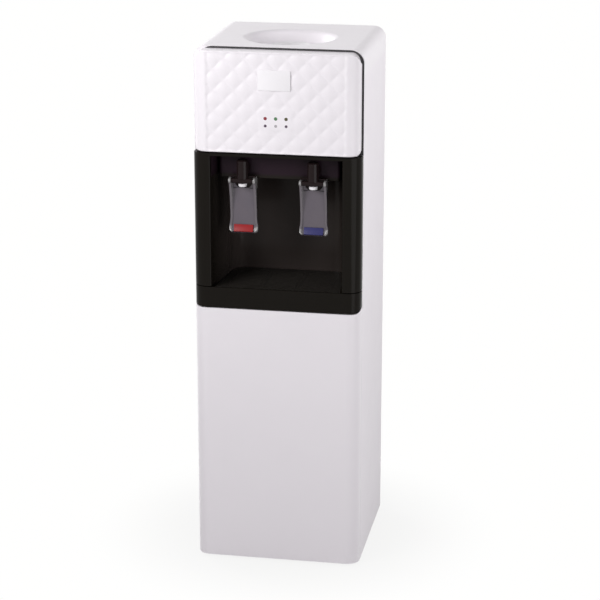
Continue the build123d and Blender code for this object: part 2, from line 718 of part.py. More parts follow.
# Taps: each has a body, bonnet, nozzle, nut, sprung valve and push lever
for tap_name, tap_centre in (("hot", -tap_x), ("cold", tap_x)):
    tap_axis = upright(tap_centre, tap_y)

    # Body: a valve chamber over a vented spout, a shank through the brow and two trunnions
    with BuildPart() as tap_body:
        body_section = (
            (0, spout_low),
            (spout_radius, spout_low),
            (spout_radius, chamber_low),
            (chamber_radius, chamber_low + chamber_radius - spout_radius),
            (chamber_radius, chamber_high),
            (0, chamber_high),
        )
        revolve(half_section(body_section, tap_centre, tap_y), axis=tap_axis)
        with BuildSketch(Plane.XZ.offset(-tap_y)):
            with Locations((tap_centre, shank_level)):
                Circle(shank_radius)
        extrude(amount=tap_y - shank_end)
        with BuildSketch(Plane.XZ.offset(-brow_y)):
            with Locations((tap_centre, shank_level)):
                Circle(collar_radius)
        extrude(amount=collar_thickness)
        for radius, reach in ((shoulder_boss_radius, ear_inner - ear_side_gap), (trunnion_radius, lever_half)):
            with BuildSketch(Plane.YZ.offset(tap_centre)):
                with Locations((pivot_y, pivot_level)):
                    Circle(radius)
            extrude(amount=reach, both=True)
        waterway = (
            (0, spout_low),
            (spout_bore, spout_low),
            (spout_bore, seat_level - seat_thickness),
            (seat_bore, seat_level - seat_thickness),
            (seat_bore, seat_level),
            (chamber_bore, seat_level),
            (chamber_bore, chamber_high),
            (0, chamber_high),
        )
        revolve(half_section(waterway, tap_centre, tap_y), axis=tap_axis, mode=Mode.SUBTRACT)
        with BuildSketch(Plane.XZ.offset(-tap_y)):
            with Locations((tap_centre, shank_level)):
                Circle(shank_bore)
        extrude(amount=tap_y - shank_end, mode=Mode.SUBTRACT)
        lift_slot = valve_lift + 2 * (lift_pin_radius + lift_slot_side)
        with Locations((tap_centre, tap_y, lift_pin_level + valve_lift / 2)):
            Box(2 * chamber_radius, 2 * (lift_pin_radius + lift_slot_side), lift_slot, mode=Mode.SUBTRACT)
    tap_body.part.label = f"{tap_name}_tap_body"
    export_step(tap_body.part, f"parts/{tap_name}_tap_body.step")

    # Bonnet that closes the chamber and holds the spring down
    bonnet_high = chamber_high + bonnet_height
    with BuildPart() as tap_bonnet:
        bonnet_section = (
            (0, chamber_high - bonnet_stub),
            (chamber_bore - bonnet_fit, chamber_high - bonnet_stub),
            (chamber_bore - bonnet_fit, chamber_high),
            (bonnet_radius, chamber_high),
            (bonnet_radius, bonnet_high - bonnet_stub),
            (bonnet_radius - bonnet_stub, bonnet_high),
            (0, bonnet_high),
        )
        revolve(half_section(bonnet_section, tap_centre, tap_y), axis=tap_axis)
    tap_bonnet.part.label = f"{tap_name}_tap_bonnet"
    export_step(tap_bonnet.part, f"parts/{tap_name}_tap_bonnet.step")

    # Pale nozzle pushed up into the spout
    with BuildPart() as tap_nozzle:
        nozzle_section = (
            (nozzle_bore, nozzle_low),
            (nozzle_radius - nozzle_chamfer, nozzle_low),
            (nozzle_radius, nozzle_low + nozzle_chamfer),
            (nozzle_radius, spout_low),
            (spout_bore - nozzle_fit, spout_low),
            (spout_bore - nozzle_fit, spout_low + nozzle_stub),
            (nozzle_bore, spout_low + nozzle_stub),
        )
        revolve(half_section(nozzle_section, tap_centre, tap_y), axis=tap_axis)
    tap_nozzle.part.label = f"{tap_name}_tap_nozzle"
    export_step(tap_nozzle.part, f"parts/{tap_name}_tap_nozzle.step")

    # Nut behind the brow
    with BuildPart() as tap_nut:
        with BuildSketch(Plane.XZ.offset(-brow_y - panel_wall)):
            with Locations((tap_centre, shank_level)):
                RegularPolygon(nut_across / 2, 6, major_radius=False)
                Circle(shank_radius + nozzle_fit, mode=Mode.SUBTRACT)
        extrude(amount=-nut_thickness)
    tap_nut.part.label = f"{tap_name}_tap_nut"
    export_step(tap_nut.part, f"parts/{tap_name}_tap_nut.step")

    # Valve: a plug on the seat, and a cross pin that the lever's ears lift
    with BuildPart() as valve_stem:
        stem_section = (
            (0, stem_low),
            (stem_radius, stem_low),
            (stem_radius, seat_level),
            (plug_radius, seat_level),
            (plug_radius, seat_level + plug_height),
            (stem_radius, seat_level + plug_height),
            (stem_radius, seat_level + plug_height + guide_height),
            (0, seat_level + plug_height + guide_height),
        )
        revolve(half_section(stem_section, tap_centre, tap_y), axis=tap_axis)
        with BuildSketch(Plane.YZ.offset(tap_centre)):
            with Locations((tap_y, lift_pin_level)):
                Circle(lift_pin_radius)
        extrude(amount=lift_pin_reach, both=True)
    valve_stem.part.label = f"{tap_name}_valve_stem"
    export_step(valve_stem.part, f"parts/{tap_name}_valve_stem.step")

    # Spring between the plug and the bonnet, one unbroken winding
    spring_low = seat_level + plug_height + spring_wire / 2 + spring_seat_gap
    spring_rise = chamber_high - bonnet_stub - spring_wire / 2 - spring_seat_gap - spring_low
    climb = spring_rise / (4 * spring_turns)
    with BuildPart() as valve_spring:
        with BuildLine() as winding:
            for quarter in range(4 * spring_turns):
                ThreePointArc(
                    *(
                        (
                            tap_centre + spring_radius * cos(radians(90 * (quarter + part))),
                            tap_y + spring_radius * sin(radians(90 * (quarter + part))),
                            spring_low + climb * (quarter + part),
                        )
                        for part in (0, 0.5, 1)
                    )
                )
        with BuildSketch(Plane(origin=winding.line @ 0, z_dir=winding.line % 0)):
            RegularPolygon(spring_wire / 2, spring_sides)
        sweep(path=winding.line)
    valve_spring.part.label = f"{tap_name}_valve_spring"
    export_step(valve_spring.part, f"parts/{tap_name}_valve_spring.step")
    turn_gap = spring_rise / spring_turns - spring_wire
    print(f"{tap_name} spring: {turn_gap:.2f} mm between turns")

    # Push lever: a plate with deep side rims, ears on the trunnions and a foot curled forward
    curl_centre = (lever_y - curl_radius, curl_level)
    lever_low = curl_level - (curl_radius + lever_plate) * sin(radians(curl_angle))
    with BuildPart() as tap_lever:
        with BuildSketch(Plane.YZ.offset(tap_centre)):
            with BuildLine():
                front_face = Line((lever_y, ear_top), (lever_y, curl_level))
                front_curl = CenterArc(curl_centre, curl_radius, 0, -curl_angle)
                rear_face = Line((lever_y + lever_plate, ear_top), (lever_y + lever_plate, curl_level))
                rear_curl = CenterArc(curl_centre, curl_radius + lever_plate, 0, -curl_angle)
                Line(front_face @ 0, rear_face @ 0)
                Line(front_curl @ 1, rear_curl @ 1)
            make_face()
        extrude(amount=foot_half, both=True)
        with BuildSketch(Plane.XZ.offset(-lever_y - lever_plate)) as paddle:
            with Locations((tap_centre, 0)):
                Polygon(
                    (-lever_half, ear_top),
                    (-lever_half, foot_flare_level),
                    (-foot_half, foot_flare_level - foot_flare),
                    (-foot_half, lever_low),
                    (foot_half, lever_low),
                    (foot_half, foot_flare_level - foot_flare),
                    (lever_half, foot_flare_level),
                    (lever_half, ear_top),
                    align=None,
                )
            fillet(paddle.vertices().group_by(Axis.Y)[0], rim_depth)
            with Locations((tap_centre, 0)):
                Polygon(
                    (-notch_half - notch_flare, ear_top),
                    (-notch_half, notch_low + rim_depth),
                    (-notch_half + rim_depth, notch_low),
                    (notch_half - rim_depth, notch_low),
                    (notch_half, notch_low + rim_depth),
                    (notch_half + notch_flare, ear_top),
                    align=None,
                    mode=Mode.SUBTRACT,
                )
        extrude(amount=curl_radius + lever_plate, mode=Mode.INTERSECT)
        for side in (-1, 1):
            with BuildSketch(Plane.YZ.offset(tap_centre + side * (lever_half - rim_width / 2))):
                with BuildLine():
                    ear_line = Line((lever_y + lever_plate, ear_top), (pivot_y, ear_top))
                    eye = ThreePointArc(
                        ear_line @ 1, (pivot_y - eye_radius, pivot_level), (pivot_y, pivot_level - eye_radius)
                    )
                    ear_slope = Line(eye @ 1, (lever_y - rim_depth, ear_foot))
                    rim_front = Line(ear_slope @ 1, (lever_y - rim_depth, curl_level))
                    rim_curl = CenterArc(curl_centre, curl_radius - rim_depth, 0, -curl_angle)
                    rim_back = CenterArc(curl_centre, curl_radius + lever_plate, 0, -curl_angle)
                    Line(rim_curl @ 1, rim_back @ 1)
                    Line(rim_back @ 0, ear_line @ 0)
                make_face()
                with Locations((pivot_y, pivot_level)):
                    Circle(trunnion_radius + trunnion_fit, mode=Mode.SUBTRACT)
            extrude(amount=rim_width / 2, both=True)
    tap_lever.part.label = f"{tap_name}_lever"
    export_step(tap_lever.part, f"parts/{tap_name}_lever.step")

    # Colour tab let into the foot between the rims
    with BuildPart() as lever_tab:
        with BuildSketch(Plane.YZ.offset(tap_centre)):
            with BuildLine():
                tab_back = CenterArc(curl_centre, curl_radius - tab_gap, -tab_start, tab_start - curl_angle)
                tab_face = CenterArc(
                    curl_centre, curl_radius - tab_gap - tab_thickness, -tab_start, tab_start - curl_angle
                )
                Line(tab_back @ 0, tab_face @ 0)
                Line(tab_back @ 1, tab_face @ 1)
            make_face()
        extrude(amount=tab_width / 2, both=True)
    lever_tab.part.label = f"{tap_name}_lever_tab"
    export_step(lever_tab.part, f"parts/{tap_name}_lever_tab.step")

# Top cover: an arched shell with a dish for the bottle's shoulder
with BuildPart() as top_cover:
    extrude(arch(Plane.XZ.offset(-back_y), 0, cover_low), amount=back_y - seam_y)
    inner_arch = arch(Plane.XZ.offset(panel_wall - back_y), panel_wall, cover_low)
    extrude(inner_arch, amount=back_y - seam_y - 2 * panel_wall, mode=Mode.SUBTRACT)
    bowl_outside = (
        (0, overall_height - panel_wall / 2),
        (dish_radius + panel_wall, overall_height - panel_wall / 2),
        (dish_floor_radius + panel_wall, dish_floor - panel_wall),
        (dish_hub_radius + panel_wall, dish_floor - panel_wall),
        (dish_hub_radius + panel_wall, dish_floor - dish_hub_drop),
        (0, dish_floor - dish_hub_drop),
    )
    revolve(half_section(bowl_outside, 0, dish_y), axis=upright(0, dish_y))
    bowl_inside = (
        (0, overall_height),
        (dish_radius, overall_height),
        (dish_floor_radius, dish_floor),
        (dish_hub_radius, dish_floor),
        (dish_hub_radius, dish_floor - dish_hub_drop),
        (0, dish_floor - dish_hub_drop),
    )
    revolve(half_section(bowl_inside, 0, dish_y), axis=upright(0, dish_y), mode=Mode.SUBTRACT)
    rim_edge = top_cover.edges().filter_by(GeomType.CIRCLE).group_by(Axis.Z)[-1]
    fillet(rim_edge, edge_round)
top_cover.part.label = "top_cover"
export_step(top_cover.part, "parts/top_cover.step")

# Bottle collar: a lift-out funnel that takes the bottle's neck
with BuildPart() as bottle_collar:
    collar_section = (
        (throat_radius, dish_floor - throat_drop),
        (throat_radius + throat_wall, dish_floor - throat_drop),
        (throat_radius + throat_wall, dish_floor),
        (collar_flange_radius, dish_floor),
        (collar_flange_radius, dish_floor + collar_flange_thickness),
        (collar_mouth_radius + 2 * collar_lip, dish_floor + collar_flange_thickness),
        (collar_mouth_radius + collar_lip, dish_floor + collar_mouth_rise),
        (collar_mouth_radius, dish_floor + collar_mouth_rise),
        (throat_radius, dish_floor),
    )
    revolve(half_section(collar_section, 0, dish_y), axis=upright(0, dish_y))
bottle_collar.part.label = "bottle_collar"
export_step(bottle_collar.part, "parts/bottle_collar.step")

# Shelf that carries the cold tank between the side panels
with BuildPart() as tank_shelf:
    suction_x = compressor_x + stub_spread
    with BuildSketch(Plane.XY.offset(shelf_level)):
        with Locations((0, (seam_y + back_y - sheet) / 2)):
            Rectangle(cabinet_width - 2 * sheet, back_y - seam_y - 3 * sheet)
        with Locations((cold_outlet_x, cold_outlet_y), (feed_x, feed_y)):
            Circle(hose_radius + hose_fit, mode=Mode.SUBTRACT)
        with Locations((suction_x, compressor_y)):
            Circle(pipe_radius + hose_fit, mode=Mode.SUBTRACT)
    extrude(amount=shelf_thickness)
tank_shelf.part.label = "tank_shelf"
export_step(tank_shelf.part, "parts/tank_shelf.step")

# Cold tank, its lid and the seal round the collar's throat
tank_axis = upright(0, dish_y)
with BuildPart() as cold_tank:
    tank_section = (
        (0, tank_low),
        (tank_radius, tank_low),
        (tank_radius, tank_high),
        (tank_radius - tank_wall, tank_high),
        (tank_radius - tank_wall, tank_low + tank_wall),
        (0, tank_low + tank_wall),
    )
    revolve(half_section(tank_section, 0, dish_y), axis=tank_axis)
    with BuildSketch(Plane.XY.offset(tank_low)):
        with Locations((cold_outlet_x, cold_outlet_y), (feed_x, feed_y)):
            Circle(hose_bore)
    extrude(amount=tank_wall, mode=Mode.SUBTRACT)
cold_tank.part.label = "cold_tank"
export_step(cold_tank.part, "parts/cold_tank.step")

neck_high = tank_high + tank_lid_thickness + tank_neck_height
with BuildPart() as tank_lid:
    lid_section = (
        (tank_neck_radius, tank_high),
        (tank_radius, tank_high),
        (tank_radius, tank_high + tank_lid_thickness),
        (tank_neck_radius + tank_lid_thickness, tank_high + tank_lid_thickness),
        (tank_neck_radius + tank_lid_thickness, neck_high),
        (tank_neck_radius, neck_high),
    )
    revolve(half_section(lid_section, 0, dish_y), axis=tank_axis)
tank_lid.part.label = "tank_lid"
export_step(tank_lid.part, "parts/tank_lid.step")

with BuildPart() as collar_seal:
    seal_section = (
        (throat_radius + throat_wall + seal_gap, neck_high - seal_height),
        (tank_neck_radius, neck_high - seal_height),
        (tank_neck_radius, neck_high),
        (throat_radius + throat_wall + seal_gap, neck_high),
    )
    revolve(half_section(seal_section, 0, dish_y), axis=tank_axis)
collar_seal.part.label = "collar_seal"
export_step(collar_seal.part, "parts/collar_seal.step")

# Baffle that keeps the warm inflow above the chilled water
baffle_low = tank_low + tank_wall
with BuildPart() as tank_baffle:
    baffle_section = (
        (baffle_tube_radius - baffle_thickness, baffle_low),
        (baffle_tube_radius, baffle_low),
        (baffle_tube_radius, baffle_low + baffle_level),
        (baffle_radius, baffle_low + baffle_level),
        (baffle_radius, baffle_low + baffle_level + baffle_thickness),
        (baffle_tube_radius - baffle_thickness, baffle_low + baffle_level + baffle_thickness),
    )
    revolve(half_section(baffle_section, 0, dish_y), axis=tank_axis)
tank_baffle.part.label = "tank_baffle"
export_step(tank_baffle.part, "parts/tank_baffle.step")

# Evaporator: a ribbed refrigerant jacket clamped round the tank
with BuildPart() as evaporator:
    evaporator_bore = tank_radius + winding_gap
    evaporator_low = tank_low + evaporator_lift
    turn_height = evaporator_height / evaporator_turns
    rib_points = [(evaporator_bore, evaporator_low + evaporator_height), (evaporator_bore, evaporator_low)]
    for turn in range(evaporator_turns):
        turn_low = evaporator_low + turn * turn_height
        rib_points.append((evaporator_bore + evaporator_sheet, turn_low))
        rib_points.append((evaporator_bore + evaporator_thickness, turn_low + turn_height / 4))
        rib_points.append((evaporator_bore + evaporator_thickness, turn_low + 3 * turn_height / 4))
    rib_points.append((evaporator_bore + evaporator_sheet, evaporator_low + evaporator_height))
    revolve(half_section(rib_points, 0, dish_y), axis=tank_axis)
evaporator.part.label = "evaporator"
export_step(evaporator.part, "parts/evaporator.step")

# Foam shells, left and right, round the cold tank
foam_bore = tank_radius + 2 * winding_gap + evaporator_thickness
for keep_side, name in ((Keep.BOTTOM, "left_foam_shell"), (Keep.TOP, "right_foam_shell")):
    with BuildPart() as foam_shell:
        foam_section = (
            (0, foam_low),
            (foam_bore + foam_thickness, foam_low),
            (foam_bore + foam_thickness, tank_high),
            (foam_bore, tank_high),
            (foam_bore, tank_low),
            (0, tank_low),
        )
        revolve(half_section(foam_section, 0, dish_y), axis=tank_axis)
        with BuildSketch(Plane.XY.offset(foam_low)):
            with Locations((cold_outlet_x, cold_outlet_y), (feed_x, feed_y)):
                Circle(hose_radius + hose_fit)
        extrude(amount=foam_floor, mode=Mode.SUBTRACT)
        split(bisect_by=Plane.YZ, keep=keep_side)
    foam_shell.part.label = name
    export_step(foam_shell.part, f"parts/{name}.step")

# Hot tank with its heater band and jacket, on a bracket from the back panel
hot_axis = upright(hot_x, hot_y)
with BuildPart() as hot_tank:
    for inset, mode in ((0, Mode.ADD), (hot_wall, Mode.SUBTRACT)):
        hot_section = (
            (0, hot_low + inset),
            (hot_radius - hot_shoulder, hot_low + inset),
            (hot_radius - inset, hot_low + hot_shoulder),
            (hot_radius - inset, hot_high - hot_shoulder),
            (hot_radius - hot_shoulder, hot_high - inset),
            (0, hot_high - inset),
        )
        revolve(half_section(hot_section, hot_x, hot_y), axis=hot_axis, mode=mode)
    with BuildSketch(Plane.XY.offset(hot_high - hot_wall)):
        with Locations((hot_x, hot_y)):
            Circle(hose_bore)
    extrude(amount=hot_wall, mode=Mode.SUBTRACT)
hot_tank.part.label = "hot_tank"
export_step(hot_tank.part, "parts/hot_tank.step")

heater_low = hot_low + heater_lift
with BuildPart() as heater_band:
    heater_section = (
        (hot_radius + jacket_gap, heater_low),
        (hot_radius + jacket_gap + heater_thickness, heater_low),
        (hot_radius + jacket_gap + heater_thickness, heater_low + heater_height),
        (hot_radius + jacket_gap, heater_low + heater_height),
    )
    revolve(half_section(heater_section, hot_x, hot_y), axis=hot_axis)
heater_band.part.label = "heater_band"
export_step(heater_band.part, "parts/heater_band.step")

with BuildPart() as hot_jacket:
    jacket_section = (
        (jacket_bore, hot_low),
        (jacket_bore + jacket_thickness, hot_low),
        (jacket_bore + jacket_thickness, hot_high),
        (jacket_bore, hot_high),
    )
    revolve(half_section(jacket_section, hot_x, hot_y), axis=hot_axis)
hot_jacket.part.label = "hot_jacket"
export_step(hot_jacket.part, "parts/hot_jacket.step")

bracket_half = jacket_bore + jacket_thickness
bracket_back = back_y - sheet
with BuildPart() as hot_bracket:
    with BuildSketch(Plane.XY.offset(hot_low - bracket_sheet)):
        with Locations((hot_x, (hot_y - bracket_half + bracket_back) / 2)):
            Rectangle(2 * bracket_half, bracket_back - hot_y + bracket_half)
        with Locations((hot_x + drain_offset, hot_y), (hot_x - drain_offset, hot_y)):
            Circle(hose_radius + hose_fit, mode=Mode.SUBTRACT)
    extrude(amount=bracket_sheet)
    with BuildSketch(Plane.XZ.offset(-bracket_back)):
        with Locations((hot_x, hot_low - bracket_sheet + bracket_upstand / 2)):
            Rectangle(2 * bracket_half, bracket_upstand)
    extrude(amount=bracket_sheet)
hot_bracket.part.label = "hot_bracket"
export_step(hot_bracket.part, "parts/hot_bracket.step")

# Compressor on rubber grommets
compressor_low = base_top + grommet_height
with BuildPart() as compressor_grommets:
    with Locations((compressor_x, compressor_y, base_top)):
        with GridLocations(2 * grommet_spread, 2 * grommet_spread, 2, 2):
            Cylinder(grommet_radius, grommet_height, align=(Align.CENTER, Align.CENTER, Align.MIN))
compressor_grommets.part.label = "compressor_grommets"
export_step(compressor_grommets.part, "parts/compressor_grommets.step")

shell_low = compressor_low + compressor_plate
shell_high = shell_low + compressor_height
stub_high = shell_high + stub_height / 2
with BuildPart() as compressor:
    with BuildSketch(Plane.XY.offset(compressor_low)):
        with Locations((compressor_x, compressor_y)):
            RectangleRounded(
                2 * (grommet_spread + grommet_radius), 2 * (grommet_spread + grommet_radius), grommet_radius
            )
    extrude(amount=compressor_plate)
    with BuildSketch(Plane.XY.offset(shell_low)):
        with Locations((compressor_x, compressor_y)):
            Circle(compressor_radius)
    extrude(amount=compressor_height)
    shell_top = compressor.faces().sort_by(Axis.Z)[-1]
    fillet(shell_top.edges(), compressor_dome)
    with Locations((suction_x, compressor_y, stub_high), (2 * compressor_x - suction_x, compressor_y, stub_high)):
        Cylinder(stub_radius, stub_height * 2, align=(Align.CENTER, Align.CENTER, Align.MAX))
compressor.part.label = "compressor"
export_step(compressor.part, "parts/compressor.step")

# Hoses and refrigerant pipes
hose_routes = {
    "cold_hose": (
        (tap_x, shank_end, shank_level),
        (tap_x, cold_outlet_y, shank_level),
        (cold_outlet_x, cold_outlet_y, shank_level),
        (cold_outlet_x, cold_outlet_y, tank_low),
    ),
    "hot_hose": (
        (-tap_x, shank_end, shank_level),
        (hot_x, hot_y, shank_level),
        (hot_x, hot_y, hot_high),
    ),
    "feed_hose": (
        (feed_x, feed_y, tank_low),
        (feed_x, feed_y, hot_low - feed_drop),
        (hot_x + drain_offset, hot_y, hot_low - feed_drop),
        (hot_x + drain_offset, hot_y, hot_low),
    ),
    "drain_hose": (
        (drain_x, hot_y, hot_low),
        (drain_x, hot_y, drain_level),
        (drain_x, back_y - sheet - drain_length, drain_level),
    ),
}
for name, points in hose_routes.items():
    hose = tube(points, hose_bend, hose_radius, hose_bore)
    hose.label = name
    export_step(hose, f"parts/{name}.step")
condenser_end = back_y - condenser_inlet
discharge_x = 2 * compressor_x - suction_x
suction_route = ((suction_x, compressor_y, stub_high), (suction_x, compressor_y, foam_low))
discharge_route = (
    (discharge_x, compressor_y, stub_high),
    (discharge_x, compressor_y, condenser_low),
    (-condenser_half, compressor_y, condenser_low),
    (-condenser_half, condenser_end, condenser_low),
)
suction_pipe = tube(suction_route, hose_bend, pipe_radius, 0)
discharge_pipe = tube(discharge_route, hose_bend, pipe_radius, 0)
with BuildPart() as refrigerant_pipes:
    add(suction_pipe)
    add(discharge_pipe)
refrigerant_pipes.part.label = "refrigerant_pipes"
export_step(refrigerant_pipes.part, "parts/refrigerant_pipes.step")

# Condenser: one serpentine tube with upright wires welded across both its sides
condenser_points = [(-condenser_half, condenser_end, condenser_low)]
for count in range(condenser_passes):
    heading = 1 if count % 2 == 0 else -1
    level = condenser_low + count * condenser_pitch
    condenser_points.append((-heading * condenser_half, condenser_y, level))
    condenser_points.append((heading * condenser_half, condenser_y, level))
condenser_points.append((condenser_half, condenser_end, condenser_high))
condenser_tube_part = tube(condenser_points, condenser_bend, condenser_tube / 2, 0)
wire_low = condenser_low - condenser_overhang
wire_length = condenser_high - condenser_low + 2 * condenser_overhang
wire_offset = (condenser_tube + condenser_wire) / 2 - condenser_weld
with BuildPart() as condenser:
    add(condenser_tube_part)
    with Locations((0, condenser_y, wire_low)):
        with GridLocations(wire_pitch, 2 * wire_offset, wire_count, 2):
            Box(condenser_wire, condenser_wire, wire_length, align=(Align.CENTER, Align.CENTER, Align.MIN))
condenser.part.label = "condenser"
export_step(condenser.part, "parts/condenser.step")

# Clips that stand the condenser off the back panel
clip_x = (wire_count - 2) / 2 * wire_pitch
with BuildPart() as condenser_clips:
    for level in (condenser_low, condenser_high):
        with Locations((-clip_x, back_y, level), (clip_x, back_y, level)):
            Box(clip_width, condenser_standoff, clip_height, align=(Align.CENTER, Align.MIN, Align.CENTER))
        with BuildSketch(Plane.YZ.offset(-half_width)):
            with Locations((condenser_y, level)):
                Circle(condenser_tube / 2 + clip_fit)
        extrude(amount=cabinet_width, mode=Mode.SUBTRACT)
condenser_clips.part.label = "condenser_clips"
export_step(condenser_clips.part, "parts/condenser_clips.step")

# Rear switches: a body clipped into the panel and a rocker that tips in it
rocker_half = switch_height / 2 - switch_body_wall - rocker_swing_gap
rocker_width = switch_width - 2 * switch_body_wall - 2 * rocker_gap
rocker_y = back_y + switch_flange_thickness - rocker_pivot_depth
for place, name in ((-0.5, "hot"), (0.5, "cold")):
    switch_centre = switch_x + place * switch_pitch
    with BuildPart() as switch_body:
        with Locations((switch_centre, back_y, switch_level)):
            Box(switch_width, switch_depth, switch_height, align=(Align.CENTER, Align.MAX, Align.CENTER))
            Box(
                switch_width + 2 * switch_flange,
                switch_flange_thickness,
                switch_height + 2 * switch_flange,
                align=(Align.CENTER, Align.MIN, Align.CENTER),
            )
        with Locations((switch_centre, back_y + switch_flange_thickness, switch_level)):
            Box(
                switch_width - 2 * switch_body_wall,
                switch_depth,
                switch_height - 2 * switch_body_wall,
                align=(Align.CENTER, Align.MAX, Align.CENTER),
                mode=Mode.SUBTRACT,
            )
        with BuildSketch(Plane.YZ.offset(switch_centre)):
            with Locations((rocker_y, switch_level)):
                Circle(rocker_pin_radius + rocker_pin_fit)
        extrude(amount=switch_width / 2, both=True, mode=Mode.SUBTRACT)
    switch_body.part.label = f"{name}_switch_body"
    export_step(switch_body.part, f"parts/{name}_switch_body.step")

    with BuildPart() as switch_rocker:
        with BuildSketch(Plane.YZ.offset(switch_centre)):
            with Locations((rocker_y, switch_level)):
                Polygon(
                    (-rocker_thickness / 2, -rocker_half),
                    (rocker_thickness / 2 + rocker_crown / 2, -rocker_half),
                    (rocker_thickness / 2, 0),
                    (rocker_thickness / 2 + rocker_crown / 2, rocker_half),
                    (-rocker_thickness / 2, rocker_half),
                    rotation=-rocker_throw / 2,
                    align=None,
                )
        extrude(amount=rocker_width / 2, both=True)
        with BuildSketch(Plane.YZ.offset(switch_centre)):
            with Locations((rocker_y, switch_level)):
                Circle(rocker_pin_radius)
        extrude(amount=switch_width / 2 - rocker_pin_fit, both=True)
    switch_rocker.part.label = f"{name}_switch_rocker"
    export_step(switch_rocker.part, f"parts/{name}_switch_rocker.step")
print(f"rocker pivots at y {rocker_y:.3f}, z {switch_level:.3f}")

# Drain outlet and its cap
with BuildPart() as drain_outlet:
    with BuildSketch(Plane.XZ.offset(sheet + drain_length - back_y)):
        with Locations((drain_x, drain_level)):
            Circle(drain_radius)
    extrude(amount=-sheet - 2 * drain_length)
    with BuildSketch(Plane.XZ.offset(sheet - back_y)):
        with Locations((drain_x, drain_level)):
            Circle(drain_flange_radius)
    extrude(amount=drain_flange)
    with BuildSketch(Plane.XZ.offset(sheet + drain_length - back_y)):
        with Locations((drain_x, drain_level)):
            Circle(drain_bore)
    extrude(amount=-sheet - 2 * drain_length, mode=Mode.SUBTRACT)
drain_outlet.part.label = "drain_outlet"
export_step(drain_outlet.part, "parts/drain_outlet.step")

with BuildPart() as drain_cap:
    with BuildSketch(Plane.XZ.offset(-back_y - drain_cap_wall / 2)):
        with Locations((drain_x, drain_level)):
            RegularPolygon(drain_radius + drain_cap_gap + drain_cap_wall, drain_cap_sides, major_radius=False)
    extrude(amount=-drain_length - drain_cap_wall / 2)
    with BuildSketch(Plane.XZ.offset(-back_y)):
        with Locations((drain_x, drain_level)):
            Circle(drain_radius + drain_cap_gap)
    extrude(amount=-drain_length, mode=Mode.SUBTRACT)
drain_cap.part.label = "drain_cap"
export_step(drain_cap.part, "parts/drain_cap.step")

# Bushing where the mains lead goes in
with BuildPart() as cord_gland:
    for radius, start, length, mode in (
        (gland_radius, back_y - sheet - gland_flange, sheet + 2 * gland_flange, Mode.ADD),
        (gland_flange_radius, back_y, gland_flange, Mode.ADD),
        (gland_flange_radius, back_y - sheet - gland_flange, gland_flange, Mode.ADD),
        (gland_bore, back_y - sheet - gland_flange, sheet + 2 * gland_flange, Mode.SUBTRACT),
    ):
        with BuildSketch(Plane.XZ.offset(-start)):
            with Locations((gland_x, gland_level)):
                Circle(radius)
        extrude(amount=-length, mode=mode)
cord_gland.part.label = "cord_gland"
export_step(cord_gland.part, "parts/cord_gland.step")
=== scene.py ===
import bpy
import bmesh
import json
import math
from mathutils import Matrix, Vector


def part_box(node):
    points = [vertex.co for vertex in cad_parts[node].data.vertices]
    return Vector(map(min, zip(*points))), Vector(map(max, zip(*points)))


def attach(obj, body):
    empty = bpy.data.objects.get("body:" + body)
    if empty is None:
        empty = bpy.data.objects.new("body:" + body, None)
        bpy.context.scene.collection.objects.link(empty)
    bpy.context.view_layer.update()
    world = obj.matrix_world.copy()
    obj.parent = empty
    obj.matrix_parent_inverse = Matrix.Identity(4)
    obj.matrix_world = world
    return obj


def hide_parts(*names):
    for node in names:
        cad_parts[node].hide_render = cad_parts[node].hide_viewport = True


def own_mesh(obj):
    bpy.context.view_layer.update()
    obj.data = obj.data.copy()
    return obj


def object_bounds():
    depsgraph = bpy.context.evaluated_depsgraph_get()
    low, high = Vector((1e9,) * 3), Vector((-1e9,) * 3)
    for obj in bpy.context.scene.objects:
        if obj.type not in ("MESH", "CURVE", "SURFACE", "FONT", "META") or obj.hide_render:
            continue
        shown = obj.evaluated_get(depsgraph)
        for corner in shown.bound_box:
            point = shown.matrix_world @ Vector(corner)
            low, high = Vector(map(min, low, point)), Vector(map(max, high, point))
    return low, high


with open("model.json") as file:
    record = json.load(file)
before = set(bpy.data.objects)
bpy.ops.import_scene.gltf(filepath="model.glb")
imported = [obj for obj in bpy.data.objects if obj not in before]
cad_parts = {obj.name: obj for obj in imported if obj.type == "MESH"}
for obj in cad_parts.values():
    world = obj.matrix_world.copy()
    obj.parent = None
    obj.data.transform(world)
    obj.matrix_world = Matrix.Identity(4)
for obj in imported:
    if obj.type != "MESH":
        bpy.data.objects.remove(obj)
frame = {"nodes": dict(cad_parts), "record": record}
cadBox = [list(corner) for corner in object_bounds()]
scene = bpy.context.scene
nodes = frame["nodes"]
frontY = cadBox[0][1]
print("frame loaded:", len(nodes), "pieces")


# shader helpers
def newGroup(name, inputs, outputs):
    group = bpy.data.node_groups.new(name, "ShaderNodeTree")
    for label, kind, value in inputs:
        socket = group.interface.new_socket(name=label, in_out="INPUT", socket_type=kind)
        socket.default_value = value
    for label, kind in outputs:
        group.interface.new_socket(name=label, in_out="OUTPUT", socket_type=kind)
    start = group.nodes.new("NodeGroupInput")
    end = group.nodes.new("NodeGroupOutput")
    return group, start, end


def addNode(tree, kind, **values):
    node = tree.nodes.new(kind)
    for key, value in values.items():
        if hasattr(node, key):
            setattr(node, key, value)
        else:
            node.inputs[key.replace("_", " ")].default_value = value
    return node


